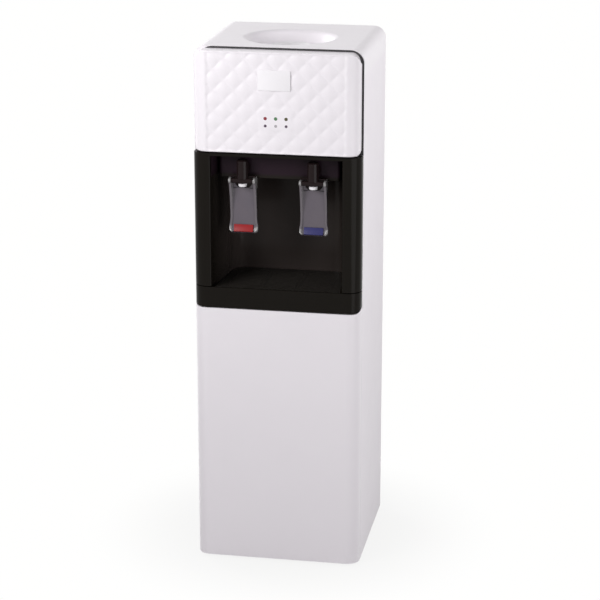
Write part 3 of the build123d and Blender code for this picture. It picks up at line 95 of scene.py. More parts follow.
# mottle: slow drift in colour and gloss plus a fine orange peel, scaled per metre
def makeMottleGroup():
    group, start, end = newGroup(
        "mouldedMottle",
        [
            ("Tint A", "NodeSocketColor", (1, 1, 1, 1)),
            ("Tint B", "NodeSocketColor", (0.9, 0.9, 0.9, 1)),
            ("Patch Scale", "NodeSocketFloat", 14.0),
            ("Peel Scale", "NodeSocketFloat", 900.0),
            ("Gloss Low", "NodeSocketFloat", 0.22),
            ("Gloss High", "NodeSocketFloat", 0.34),
        ],
        [("Color", "NodeSocketColor"), ("Roughness", "NodeSocketFloat"), ("Height", "NodeSocketFloat")],
    )
    place = addNode(group, "ShaderNodeTexCoord")
    patches = addNode(group, "ShaderNodeTexNoise", Detail=3.0, Roughness=0.55)
    peel = addNode(group, "ShaderNodeTexNoise", Detail=0.5, Roughness=0.5)
    smears = addNode(group, "ShaderNodeTexNoise", Scale=34.0, Detail=4.0, Roughness=0.62, Distortion=0.6)
    tint = addNode(group, "ShaderNodeMix", data_type="RGBA")
    gloss = addNode(group, "ShaderNodeMapRange", From_Min=0.3, From_Max=0.7)
    link = group.links.new
    for texture in (patches, peel, smears):
        link(place.outputs["Object"], texture.inputs["Vector"])
    link(start.outputs["Patch Scale"], patches.inputs["Scale"])
    link(start.outputs["Peel Scale"], peel.inputs["Scale"])
    link(patches.outputs["Fac"], tint.inputs["Factor"])
    link(start.outputs["Tint A"], tint.inputs["A"])
    link(start.outputs["Tint B"], tint.inputs["B"])
    link(smears.outputs["Fac"], gloss.inputs["Value"])
    link(start.outputs["Gloss Low"], gloss.inputs["To Min"])
    link(start.outputs["Gloss High"], gloss.inputs["To Max"])
    link(tint.outputs["Result"], end.inputs["Color"])
    link(gloss.outputs["Result"], end.inputs["Roughness"])
    link(peel.outputs["Fac"], end.inputs["Height"])
    return group


# dust: sparse pale specks that gather on faces that look up
def makeDustGroup():
    group, start, end = newGroup(
        "settledDust",
        [
            ("Color", "NodeSocketColor", (0.02, 0.02, 0.02, 1)),
            ("Dust Color", "NodeSocketColor", (0.3, 0.29, 0.28, 1)),
            ("Amount", "NodeSocketFloat", 0.15),
        ],
        [("Color", "NodeSocketColor")],
    )
    place = addNode(group, "ShaderNodeTexCoord")
    facing = addNode(group, "ShaderNodeNewGeometry")
    split = addNode(group, "ShaderNodeSeparateXYZ")
    upward = addNode(group, "ShaderNodeMapRange", From_Min=-0.2, To_Min=0.12)
    specks = addNode(group, "ShaderNodeTexNoise", Scale=420.0, Detail=2.0, Roughness=0.7)
    clouds = addNode(group, "ShaderNodeTexNoise", Scale=22.0, Detail=3.0)
    sharp = addNode(group, "ShaderNodeMapRange", From_Min=0.55, From_Max=0.75)
    both = addNode(group, "ShaderNodeMath", operation="MULTIPLY")
    worn = addNode(group, "ShaderNodeMath", operation="MULTIPLY")
    mask = addNode(group, "ShaderNodeMath", operation="MULTIPLY")
    tint = addNode(group, "ShaderNodeMix", data_type="RGBA")
    link = group.links.new
    link(place.outputs["Object"], specks.inputs["Vector"])
    link(place.outputs["Object"], clouds.inputs["Vector"])
    link(facing.outputs["Normal"], split.inputs["Vector"])
    link(split.outputs["Z"], upward.inputs["Value"])
    link(specks.outputs["Fac"], sharp.inputs["Value"])
    link(sharp.outputs["Result"], both.inputs[0])
    link(clouds.outputs["Fac"], both.inputs[1])
    link(both.outputs["Value"], worn.inputs[0])
    link(upward.outputs["Result"], worn.inputs[1])
    link(worn.outputs["Value"], mask.inputs[0])
    link(start.outputs["Amount"], mask.inputs[1])
    link(mask.outputs["Value"], tint.inputs["Factor"])
    link(start.outputs["Color"], tint.inputs["A"])
    link(start.outputs["Dust Color"], tint.inputs["B"])
    link(tint.outputs["Result"], end.inputs["Color"])
    return group


mottleGroup = makeMottleGroup()
dustGroup = makeDustGroup()

# bay painted light and shade: painted paler with depth (painted light on the back wall), painted darker towards the
# right wall (painted shade) and painted paler purple on the brow (painted light), only behind a clear front margin
# and between the outer walls
bayPaintedLight = dict(
    frontClear=0.0055, half=0.1425,
    inner=("Y", frontY + 0.012, frontY + 0.14, "LINEAR"),
    flank=("X", 0.05, 0.14, "SMOOTHSTEP"),
    brow=("Z", 0.742, 0.750, "SMOOTHSTEP"),
)


def paintBayLight(tree, colorOut, look):
    link = tree.links.new
    place = addNode(tree, "ShaderNodeTexCoord")
    split = addNode(tree, "ShaderNodeSeparateXYZ")
    behind = addNode(tree, "ShaderNodeMath", operation="GREATER_THAN")
    behind.inputs[1].default_value = frontY + bayPaintedLight["frontClear"]
    aside = addNode(tree, "ShaderNodeMath", operation="ABSOLUTE")
    between = addNode(tree, "ShaderNodeMath", operation="LESS_THAN")
    between.inputs[1].default_value = bayPaintedLight["half"]
    within = addNode(tree, "ShaderNodeMath", operation="MULTIPLY")
    link(place.outputs["Object"], split.inputs["Vector"])
    link(split.outputs["Y"], behind.inputs[0])
    link(split.outputs["X"], aside.inputs[0])
    link(aside.outputs["Value"], between.inputs[0])
    link(behind.outputs["Value"], within.inputs[0])
    link(between.outputs["Value"], within.inputs[1])
    for part in ("inner", "flank", "brow"):
        axis, start, end, easing = bayPaintedLight[part]
        depth = addNode(tree, "ShaderNodeMapRange", interpolation_type=easing, From_Min=start, From_Max=end)
        share = addNode(tree, "ShaderNodeMath", operation="MULTIPLY")
        deeper = addNode(tree, "ShaderNodeMix", data_type="RGBA")
        deeper.inputs["B"].default_value = (*look[part], 1)
        link(split.outputs[axis], depth.inputs["Value"])
        link(depth.outputs["Result"], share.inputs[0])
        link(within.outputs["Value"], share.inputs[1])
        link(share.outputs["Value"], deeper.inputs["Factor"])
        link(colorOut, deeper.inputs["A"])
        colorOut = deeper.outputs["Result"]
    return colorOut


def makeFinish(name, look):
    finish = bpy.data.materials.new(name)
    finish.use_nodes = True
    tree = finish.node_tree
    shader = tree.nodes["Principled BSDF"]
    mottle = addNode(tree, "ShaderNodeGroup", node_tree=mottleGroup)
    mottle.inputs["Tint A"].default_value = (*look["color"], 1)
    mottle.inputs["Tint B"].default_value = (*look.get("drift", look["color"]), 1)
    mottle.inputs["Patch Scale"].default_value = look.get("patch", 14.0)
    mottle.inputs["Peel Scale"].default_value = look.get("peel", 900.0)
    mottle.inputs["Gloss Low"].default_value = look["gloss"][0]
    mottle.inputs["Gloss High"].default_value = look["gloss"][1]
    colorOut = mottle.outputs["Color"]
    if look.get("dust"):
        dust = addNode(tree, "ShaderNodeGroup", node_tree=dustGroup)
        dust.inputs["Amount"].default_value = look["dust"]
        tree.links.new(colorOut, dust.inputs["Color"])
        colorOut = dust.outputs["Color"]
    if look.get("inner"):
        colorOut = paintBayLight(tree, colorOut, look)
    bump = addNode(tree, "ShaderNodeBump", Strength=look.get("bump", 0.1), Distance=0.00006)
    tree.links.new(colorOut, shader.inputs["Base Color"])
    tree.links.new(mottle.outputs["Roughness"], shader.inputs["Roughness"])
    tree.links.new(mottle.outputs["Height"], bump.inputs["Height"])
    tree.links.new(bump.outputs["Normal"], shader.inputs["Normal"])
    for socket, value in look.get("shader", {}).items():
        shader.inputs[socket].default_value = value
    return finish


finishLooks = {
    "shell_white": dict(color=(0.85, 0.818, 0.853), drift=(0.832, 0.798, 0.835), gloss=(0.28, 0.37),
                        peel=110.0, bump=0.06,
                        shader={"Specular IOR Level": 0.3, "Coat Weight": 0.08, "Coat Roughness": 0.15}),
    "panel_white": dict(color=(0.825, 0.788, 0.83), drift=(0.805, 0.766, 0.81), gloss=(0.36, 0.46),
                        peel=130.0, bump=0.08),
    # bay_black's inner, flank and brow colours are painted light and shade: a paler back wall, a darker right wall
    # and a paler purple brow
    "bay_black": dict(color=(0.0082, 0.0070, 0.0052), drift=(0.0096, 0.0078, 0.0064), gloss=(0.14, 0.22), dust=0.05,
                      inner=(0.052, 0.042, 0.0385), flank=(0.0085, 0.0066, 0.0046), brow=(0.0215, 0.0125, 0.0180),
                      shader={"Specular IOR Level": 0.06}),
    "grille_black": dict(color=(0.0165, 0.0148, 0.0128), drift=(0.0205, 0.0182, 0.016), gloss=(0.30, 0.42),
                         peel=1600.0, dust=0.08, bump=0.3, shader={"Specular IOR Level": 0.15}),
    "tap_black": dict(color=(0.0128, 0.0074, 0.0077), drift=(0.0152, 0.0092, 0.0096), gloss=(0.08, 0.14), dust=0.04,
                      shader={"Specular IOR Level": 0.10}),
    "lever_smoke": dict(color=(0.108, 0.090, 0.106), drift=(0.086, 0.074, 0.094), gloss=(0.28, 0.36), patch=38.0,
                        shader={"IOR": 1.49, "Coat Weight": 0.2, "Coat Roughness": 0.1}),
    "tab_red": dict(color=(0.30, 0.018, 0.020), drift=(0.26, 0.014, 0.017), gloss=(0.36, 0.46), patch=60.0,
                    shader={"Specular IOR Level": 0.2}),
    "tab_blue": dict(color=(0.036, 0.036, 0.135), drift=(0.030, 0.030, 0.115), gloss=(0.36, 0.46), patch=60.0,
                     shader={"Specular IOR Level": 0.2}),
    "lamp_red": dict(color=(0.26, 0.03, 0.04), drift=(0.20, 0.02, 0.03), gloss=(0.1, 0.2), patch=200.0),
    "lamp_green": dict(color=(0.10, 0.22, 0.10), drift=(0.07, 0.17, 0.08), gloss=(0.1, 0.2), patch=200.0),
    "lamp_amber": dict(color=(0.10, 0.09, 0.035), drift=(0.07, 0.06, 0.03), gloss=(0.1, 0.2), patch=200.0),
    "steel": dict(color=(0.55, 0.56, 0.58), drift=(0.48, 0.49, 0.51), gloss=(0.28, 0.4), shader={"Metallic": 1.0}),
    "zinc": dict(color=(0.50, 0.51, 0.53), drift=(0.40, 0.41, 0.43), gloss=(0.35, 0.55), patch=40.0,
                 shader={"Metallic": 0.9}),
    "black_paint": dict(color=(0.014, 0.014, 0.014), drift=(0.02, 0.02, 0.021), gloss=(0.3, 0.5), dust=0.3, bump=0.3),
    "copper": dict(color=(0.60, 0.28, 0.16), drift=(0.48, 0.20, 0.11), gloss=(0.28, 0.45), shader={"Metallic": 1.0}),
    "foam": dict(color=(0.72, 0.69, 0.60), drift=(0.66, 0.63, 0.54), gloss=(0.8, 0.95), peel=500.0, bump=0.6),
    "rubber": dict(color=(0.02, 0.018, 0.02), drift=(0.028, 0.025, 0.028), gloss=(0.6, 0.8), dust=0.1, bump=0.3),
    "silicone": dict(color=(0.66, 0.66, 0.63), drift=(0.60, 0.60, 0.56), gloss=(0.35, 0.5),
                     shader={"Transmission Weight": 0.3}),
    "board": dict(color=(0.02, 0.10, 0.04), drift=(0.03, 0.13, 0.05), gloss=(0.35, 0.5), patch=80.0),
    "nozzle_white": dict(color=(0.86, 0.84, 0.87), drift=(0.80, 0.78, 0.81), gloss=(0.28, 0.34), patch=60.0),
    "inner_white": dict(color=(0.80, 0.785, 0.80), drift=(0.76, 0.745, 0.76), gloss=(0.4, 0.55), bump=0.2),
    "switch_black": dict(color=(0.018, 0.018, 0.018), drift=(0.025, 0.025, 0.025), gloss=(0.38, 0.52),
                         peel=1500.0, bump=0.3, dust=0.1),
    "rocker_red": dict(color=(0.40, 0.02, 0.02), drift=(0.48, 0.03, 0.03), gloss=(0.28, 0.36), patch=80.0),
    "rocker_green": dict(color=(0.02, 0.22, 0.05), drift=(0.03, 0.28, 0.07), gloss=(0.28, 0.36), patch=80.0),
}
extraLooks = {
    # painted highlight for the lever ears and foot corners, and painted sheen for the lever rims between them
    "leverGlint": dict(color=(0.27, 0.265, 0.262), drift=(0.22, 0.212, 0.215), gloss=(0.16, 0.26), patch=50.0,
                     shader={"Coat Weight": 0.4, "Coat Roughness": 0.08}),
    "leverSheen": dict(color=(0.128, 0.112, 0.126), drift=(0.108, 0.094, 0.108), gloss=(0.28, 0.36), patch=50.0),
    "badgeWhite": dict(color=(0.878, 0.858, 0.884), drift=(0.864, 0.844, 0.870), gloss=(0.16, 0.24),
                       peel=240.0, bump=0.05),
    "markInk": dict(color=(0.085, 0.055, 0.085), drift=(0.065, 0.042, 0.068), gloss=(0.4, 0.5), patch=300.0),
    "badgeShade": dict(color=(0.55, 0.53, 0.55), drift=(0.5, 0.48, 0.5), gloss=(0.5, 0.6), patch=200.0),
    "markFaint": dict(color=(0.42, 0.40, 0.42), drift=(0.36, 0.34, 0.36), gloss=(0.4, 0.5), patch=300.0),
}
finishes = {name: makeFinish(name, look) for name, look in {**finishLooks, **extraLooks}.items()}
print("finishes made:", len(finishes))

slotOf = {}
for entry in frame["record"]["subparts"]:
    slotOf[entry["node"]] = entry["material_slot"]
    mesh = nodes[entry["node"]].data
    mesh.materials.clear()
    mesh.materials.append(finishes[entry["material_slot"]])
for node in ("hot_valve_stem", "cold_valve_stem"):  # the lift pins take the tap's black finish instead of their own
    nodes[node].data.materials[0] = finishes["tap_black"]
print("finishes put on the solids")


# mesh helpers
def addPiece(name, mesh, body, slot, finish=None, replaced=()):
    piece = bpy.data.objects.new(name, mesh)
    scene.collection.objects.link(piece)
    if not mesh.materials:
        mesh.materials.append(finishes[finish or slot])
    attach(piece, body)
    if replaced:
        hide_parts(*replaced)
    return piece


def smoothMesh(name, shape, angle=40.0):
    bmesh.ops.recalc_face_normals(shape, faces=shape.faces)
    mesh = bpy.data.meshes.new(name)
    shape.to_mesh(mesh)
    shape.free()
    mesh.polygons.foreach_set("use_smooth", [True] * len(mesh.polygons))
    mesh.set_sharp_from_angle(angle=math.radians(angle))
    return mesh


def easeStep(start, end, value):
    share = min(max((value - start) / (end - start), 0.0), 1.0)
    return share * share * (3 - 2 * share)


def roundedOutline(width, height, corner, steps=6):
    points = []
    for turn, (sideX, sideZ) in enumerate(((1, 1), (-1, 1), (-1, -1), (1, -1))):
        for step in range(steps + 1):
            angle = math.radians(90 * (turn + step / steps))
            points.append((sideX * (width / 2 - corner) + corner * math.cos(angle),
                           sideZ * (height / 2 - corner) + corner * math.sin(angle)))
    return points


def loftLoops(shape, loops, capStart=True, capEnd=True):
    rings = [[shape.verts.new(point) for point in loop] for loop in loops]
    count = len(rings[0])
    for near, far in zip(rings, rings[1:]):
        for i in range(count):
            shape.faces.new((near[i], near[(i + 1) % count], far[(i + 1) % count], far[i]))
    if capStart:
        shape.faces.new(rings[0])
    if capEnd:
        shape.faces.new(rings[-1])
    return rings


# normals that keep wide faces flat where they run into a rounded edge
def levelNormals(mesh, angle=40.0):
    least = math.cos(math.radians(angle))
    around = {}
    for face in mesh.polygons:
        for vert in face.vertices:
            around.setdefault(vert, []).append(face)
    normals = []
    for face in mesh.polygons:
        for vert in face.vertices:
            total = Vector()
            for other in around[vert]:
                if other.normal.dot(face.normal) > least:
                    total += other.normal * other.area
            normals.append(total.normalized())
    mesh.normals_split_custom_set(normals)


# a solid copied with the crisp edges near its front rolled over
softSet = dict(weld=0.000004, flatAngle=0.5, crispTurn=0.6, leastLength=0.004, frontDepth=0.05, steps=2,
               bayRoll=0.0016, trayRoll=0.0014)


def isCrispFront(edge):
    if len(edge.link_faces) != 2 or not edge.is_convex or edge.calc_face_angle() <= softSet["crispTurn"]:
        return False
    behind = frontY + softSet["frontDepth"]
    return edge.calc_length() > softSet["leastLength"] and all(v.co.y < behind for v in edge.verts)


def softCopy(node, body, roll):
    shape = bmesh.new()
    shape.from_mesh(nodes[node].data)
    bmesh.ops.remove_doubles(shape, verts=shape.verts, dist=softSet["weld"])
    bmesh.ops.dissolve_limit(shape, angle_limit=math.radians(softSet["flatAngle"]),
                             verts=shape.verts, edges=shape.edges)
    crisp = [edge for edge in shape.edges if isCrispFront(edge)]
    bmesh.ops.bevel(shape, geom=crisp, offset=roll, offset_type="OFFSET", segments=softSet["steps"], profile=0.5,
                    affect="EDGES", clamp_overlap=True)
    bmesh.ops.triangulate(shape, faces=[f for f in shape.faces if len(f.verts) > 4])
    mesh = smoothMesh(node + "Soft", shape)
    levelNormals(mesh)
    addPiece(node + "Soft", mesh, body, slotOf[node], replaced=(node,))
    return len(crisp)


# a thin plate that faces the front, with its rim rounded over
def facedPlate(shape, centre, width, height, corner, thick, edge):
    loops = []
    for inset, depth in ((0, 0), (0, thick - edge), (edge * 0.3, thick - edge * 0.3), (edge, thick)):
        outline = roundedOutline(width - 2 * inset, height - 2 * inset, corner - inset)
        loops.append([(centre[0] + x, centre[1] - depth, centre[2] + z) for x, z in outline])
    loftLoops(shape, loops)


# upper front panel: pillow diamonds on the flat front, smooth strips round the corners
panelSet = dict(
    sideInset=0.003, topInset=0.0036, corner=0.024, cornerSteps=12, cornerLead=0.002, shoulder=0.0185,
    footRound=0.006, edge=0.0026, edgeSteps=(0, 0.04, 0.15, 0.35, 0.65, 1.0), rearTrim=0.0005,
    pitch=0.0385, depth=0.0019, puff=0.72, sunk=0.0009, centreRise=0.055, margin=0.001, fade=0.004, step=0.0016,
    padHalf=0.026, padLow=0.840, padHigh=0.868, padFade=0.011,
)


def quiltSink(x, z, low, high, flatHalf):
    rise = z - (low + panelSet["centreRise"])
    pitch = panelSet["pitch"]
    across = abs(math.cos(math.pi * (x + rise) / pitch) * math.cos(math.pi * (x - rise) / pitch))
    pillow = across ** panelSet["puff"]
    fade = panelSet["fade"]
    inside = easeStep(0, fade, flatHalf - abs(x))
    inside *= easeStep(0, fade, z - low - panelSet["margin"]) * easeStep(0, fade, high - panelSet["margin"] - z)
    padFade = panelSet["padFade"]
    onPad = easeStep(-padFade, 0, panelSet["padHalf"] - abs(x))
    onPad *= easeStep(-padFade, 0, z - panelSet["padLow"]) * easeStep(-padFade, 0, panelSet["padHigh"] - z)
    return panelSet["sunk"] + panelSet["depth"] * (1 - pillow) * inside * (1 - onPad)


def makeQuiltedPanel():
    lowBox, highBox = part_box("upper_front_panel")
    half = highBox.x - panelSet["sideInset"]
    lowZ, highZ = lowBox.z, highBox.z - panelSet["topInset"]
    rearY = highBox.y - panelSet["rearTrim"]
    corner, shoulder, foot, edge = (panelSet[key] for key in ("corner", "shoulder", "footRound", "edge"))
    flatHalf = half - corner
    turns = panelSet["cornerSteps"]
    plan = [(half, y, -1, 0) for y in (rearY, frontY + corner + panelSet["cornerLead"])]
    for step in range(turns + 1):
        angle = math.radians(90 * step / turns)
        plan.append((flatHalf + corner * math.cos(angle), frontY + corner - corner * math.sin(angle),
                     -math.cos(angle), math.sin(angle)))
    flatCount = round(2 * flatHalf / panelSet["step"])
    plan += [(flatHalf - 2 * flatHalf * i / flatCount, frontY, 0, 1) for i in range(1, flatCount)]
    plan += [(-x, y, -nx, ny) for x, y, nx, ny in reversed(plan[:turns + 3])]
    nearEdge = [edge * share for share in panelSet["edgeSteps"]]
    innerCount = round((highZ - lowZ - 2 * edge) / panelSet["step"])
    shape = bmesh.new()
    columns = []
    for x, y, nx, ny in plan:
        over = max(abs(x) - (half - shoulder), 0)
        top = highZ - shoulder + math.sqrt(max(shoulder ** 2 - over ** 2, 0))
        over = max(abs(x) - (half - foot), 0)
        bottom = lowZ + foot - math.sqrt(max(foot ** 2 - over ** 2, 0))
        levels = [bottom + d for d in nearEdge]
        levels += [bottom + edge + (top - bottom - 2 * edge) * i / innerCount for i in range(1, innerCount)]
        levels += [top - d for d in reversed(nearEdge)]
        column = []
        for z in levels:
            near = max(edge - min(z - bottom, top - z), 0)
            sink = edge - math.sqrt(max(edge ** 2 - near ** 2, 0)) + quiltSink(x, z, lowZ, highZ, flatHalf)
            column.append(shape.verts.new((x + nx * sink, y + ny * sink, z)))
        columns.append(column)
    for one, two in zip(columns, columns[1:]):
        for i in range(len(one) - 1):
            shape.faces.new((one[i], two[i], two[i + 1], one[i + 1]))
    for end in (0, -1):  # foot and top returns, back to the seam
        rear = [shape.verts.new((c[end].co.x, rearY, c[end].co.z)) for c in columns]
        for i in range(len(columns) - 1):
            shape.faces.new((columns[i][end], columns[i + 1][end], rear[i + 1], rear[i]))
    mesh = smoothMesh("quiltedPanel", shape, 60.0)
    addPiece("quiltedPanel", mesh, "cabinet", slotOf["upper_front_panel"], replaced=("upper_front_panel",))


# dark gasket in the seam behind the upper panel
gasketSet = dict(outHalf=0.1548, leftTuck=0.0028, leftRadius=0.032, topDrop=0.0002, radius=0.0245, turns=12,
                 deep=0.0115, front=0.0011, rear=0.0001, footGap=0.0001, soft=0.0004)


def makeGasket():
    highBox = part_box("upper_front_panel")[1]
    top = highBox.z - gasketSet["topDrop"]
    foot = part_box("bay_housing")[1].z + gasketSet["footGap"]
    path = []
    for side, tuck, radius in ((1, 0, gasketSet["radius"]), (-1, gasketSet["leftTuck"], gasketSet["leftRadius"])):
        half = gasketSet["outHalf"] - tuck
        turn = [(side * half, foot, -side, 0), (side * half, top - radius, -side, 0)]
        for step in range(1, gasketSet["turns"] + 1):
            angle = math.radians(90 * step / gasketSet["turns"])
            turn.append((side * (half - radius + radius * math.cos(angle)), top - radius + radius * math.sin(angle),
                         -side * math.cos(angle), -math.sin(angle)))
        path += turn[::side]
    frontEdge = highBox.y - gasketSet["front"]
    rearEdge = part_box("right_side_panel")[0].y - gasketSet["rear"]
    deep, soft = gasketSet["deep"], gasketSet["soft"]
    loops = []
    for x, z, nx, nz in path:
        inner = (x + nx * deep, z + nz * deep)
        loops.append([(x, frontEdge + soft, z), (x, rearEdge, z), (inner[0], rearEdge, inner[1]),
                      (inner[0], frontEdge, inner[1]), (x + nx * soft, frontEdge, z + nz * soft)])
    shape = bmesh.new()
    loftLoops(shape, loops)
    addPiece("seamGasket", smoothMesh("seamGasket", shape), "cabinet", "rubber")


# bare badge plate and the plain dots under the lamps
badgeSet = dict(centreX=-0.003, centreZ=0.926, width=0.060, height=0.037, corner=0.0025, thick=0.0012, edge=0.0004,
                inset=0.0001, shadowShift=0.0003, shadowInset=0.0021, shadowThick=0.0013, shadowEdge=0.0002)
markSet = dict(level=0.8437, size=0.0052, corner=0.48, thick=0.0003, edge=0.0001, inset=0.0001, pitch=0.019)


def makeBadge():
    b = badgeSet
    shape = bmesh.new()
    facedPlate(shape, (b["centreX"], frontY + b["thick"] + b["inset"], b["centreZ"]),
               b["width"], b["height"], b["corner"], b["thick"], b["edge"])
    addPiece("badgePlate", smoothMesh("badgePlate", shape), "cabinet", "shell_white", "badgeWhite")
    # painted shadow: a darker plate behind the badge, shifted right and down, stands in for the badge's shadow on the
    # panel
    shape = bmesh.new()
    facedPlate(shape, (b["centreX"] + b["shadowShift"], frontY + b["shadowInset"], b["centreZ"] - b["shadowShift"]),
               b["width"], b["height"], b["corner"], b["shadowThick"], b["shadowEdge"])
    addPiece("badgeShadowSheet", smoothMesh("badgeShadowSheet", shape), "cabinet", "shell_white", "badgeShade")


def makeMarks():
    m = markSet
    for place, finish in ((-1, "markInk"), (0, "markFaint"), (1, "markInk")):
        name = "mark" + str(place + 2)
        shape = bmesh.new()
        facedPlate(shape, (place * m["pitch"], frontY + panelSet["sunk"] + m["inset"], m["level"]),
                   m["size"], m["size"], m["size"] * m["corner"], m["thick"], m["edge"])
        addPiece(name, smoothMesh(name, shape), "cabinet", "shell_white", finish)


# top cover: the dish's rim rolls over in one soft curve, and the crown is refilled round it
crownSet = dict(rim=0.082, floorRadius=0.066, floorDepth=0.026, roll=0.014, turns=96, steps=10, forward=0.0150,
                level=0.00002, rimReach=0.006, floorKeep=0.0002, floorLap=0.0003, weld=0.000004)


def makeTopCover():
    c = crownSet
    lowBox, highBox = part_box("top_cover")
    top, middleY = highBox.z, (lowBox.y + highBox.y) / 2 - c["forward"]
    crownLow, bowlLow = top - c["level"], top - c["floorDepth"] + c["floorKeep"]
    shape = bmesh.new()
    shape.from_mesh(nodes["top_cover"].data)
    bmesh.ops.remove_doubles(shape, verts=shape.verts, dist=c["weld"])
    gone = []
    for face in shape.faces:
        spot = face.calc_center_median()
        crown = face.normal.z > 0.9995 and spot.z > crownLow
        bowl = math.hypot(spot.x, spot.y - middleY) < c["rim"] + c["rimReach"] and spot.z > bowlLow
        if crown or bowl and face.normal.z > 0.05:  # the flat crown, and the bowl's faces that look up
            gone.append(face)
    bmesh.ops.delete(shape, geom=gone, context="FACES")
    border = [e for e in shape.edges if e.is_boundary and all(v.co.z > crownLow for v in e.verts)]
    slope = math.atan2(c["floorDepth"], c["rim"] - c["floorRadius"])
    reach = c["roll"] * math.tan(slope / 2)
    profile = [(c["floorRadius"], top - c["floorDepth"] - c["floorLap"])]
    for step in range(c["steps"] + 1):
        lean = slope * (1 - step / c["steps"])
        profile.append((c["rim"] + reach - c["roll"] * math.sin(lean), top - c["roll"] * (1 - math.cos(lean))))
    angles = [2 * math.pi * i / c["turns"] for i in range(c["turns"])]
    rings = []
    for radius, level in profile:
        rings.append([shape.verts.new((radius * math.cos(a), middleY + radius * math.sin(a), level)) for a in angles])
    for inner, outer in zip(rings, rings[1:]):
        for i in range(c["turns"]):
            shape.faces.new((inner[i], inner[i - 1], outer[i - 1], outer[i]))
    lip = [shape.edges.get((rings[-1][i - 1], rings[-1][i])) for i in range(c["turns"])]
    bmesh.ops.triangle_fill(shape, use_beauty=True, edges=border + lip, normal=(0, 0, 1))
    mesh = bpy.data.meshes.new("topCoverSoft")
    shape.to_mesh(mesh)
    shape.free()
    mesh.polygons.foreach_set("use_smooth", [True] * len(mesh.polygons))
    levelNormals(mesh)
    addPiece("topCoverSoft", mesh, "cabinet", slotOf["top_cover"], replaced=("top_cover",))


makeTopCover()
rolled = softCopy("bay_housing", "cabinet", softSet["bayRoll"])
rolled += softCopy("drip_tray", "drip_tray", softSet["trayRoll"])
print("bay, tray and dish softened:", rolled, "edges")
makeQuiltedPanel()
makeGasket()
makeBadge()
makeMarks()
print("upper panel dressed")

# push levers: a dished paddle with raised rims, horned ears and a foot curled forward
leverSet = dict(
    aside=0.065, plate=0.004, rimWidth=0.004, rimDepth=0.006, rimShow=0.0026, soft=0.0009,
    half=0.0245, footHalf=0.0265, flareTop=0.662, flareLow=0.650, footRound=0.006,
    faceY=-0.13685, pivotY=-0.15085, pivotZ=0.738, eye=0.005, earTop=0.743, earFoot=0.706, earTaper=0.024,
    notchLow=0.722, notchHalf=0.0155, notchFlare=0.003, notchCut=0.006,
    tongueFoot=0.002, tongueTop=0.001, tongueTip=0.0005, tongueSoft=0.0012,
    curlZ=0.656, curlRadius=0.030, curlAngle=33.5, runSteps=8,
    curlSteps=(0.12, 0.25, 0.38, 0.5, 0.6, 0.7, 0.78, 0.85, 0.91, 0.95, 0.98, 1.0),
    pinRadius=0.0033, pinTurns=20, pinSteps=((-0.001, 1.0), (0.0004, 1.0), (0.0008, 0.8)),  # rise, share of radius
    rimFrom=0.0002, glintAbove=0.002,
)


def roundedPolygon(points, radius, steps=3):
    rounded = []
    count = len(points)
    for i, point in enumerate(points):
        here = Vector(point)
        before = Vector(points[i - 1]) - here
        after = Vector(points[(i + 1) % count]) - here
        reach = min(radius, before.length * 0.45, after.length * 0.45)
        start = here + before.normalized() * reach
        end = here + after.normalized() * reach
        for step in range(steps + 1):
            t = step / steps
            rounded.append(tuple(start * (1 - t) ** 2 + here * 2 * t * (1 - t) + end * t ** 2))
    return rounded


def leverHalf(z, fromEnd):
    flare = easeStep(leverSet["flareTop"], leverSet["flareLow"], z)
    half = leverSet["half"] + (leverSet["footHalf"] - leverSet["half"]) * flare
    short = max(leverSet["footRound"] - fromEnd, 0)
    return half - (leverSet["footRound"] - math.sqrt(leverSet["footRound"] ** 2 - short ** 2))


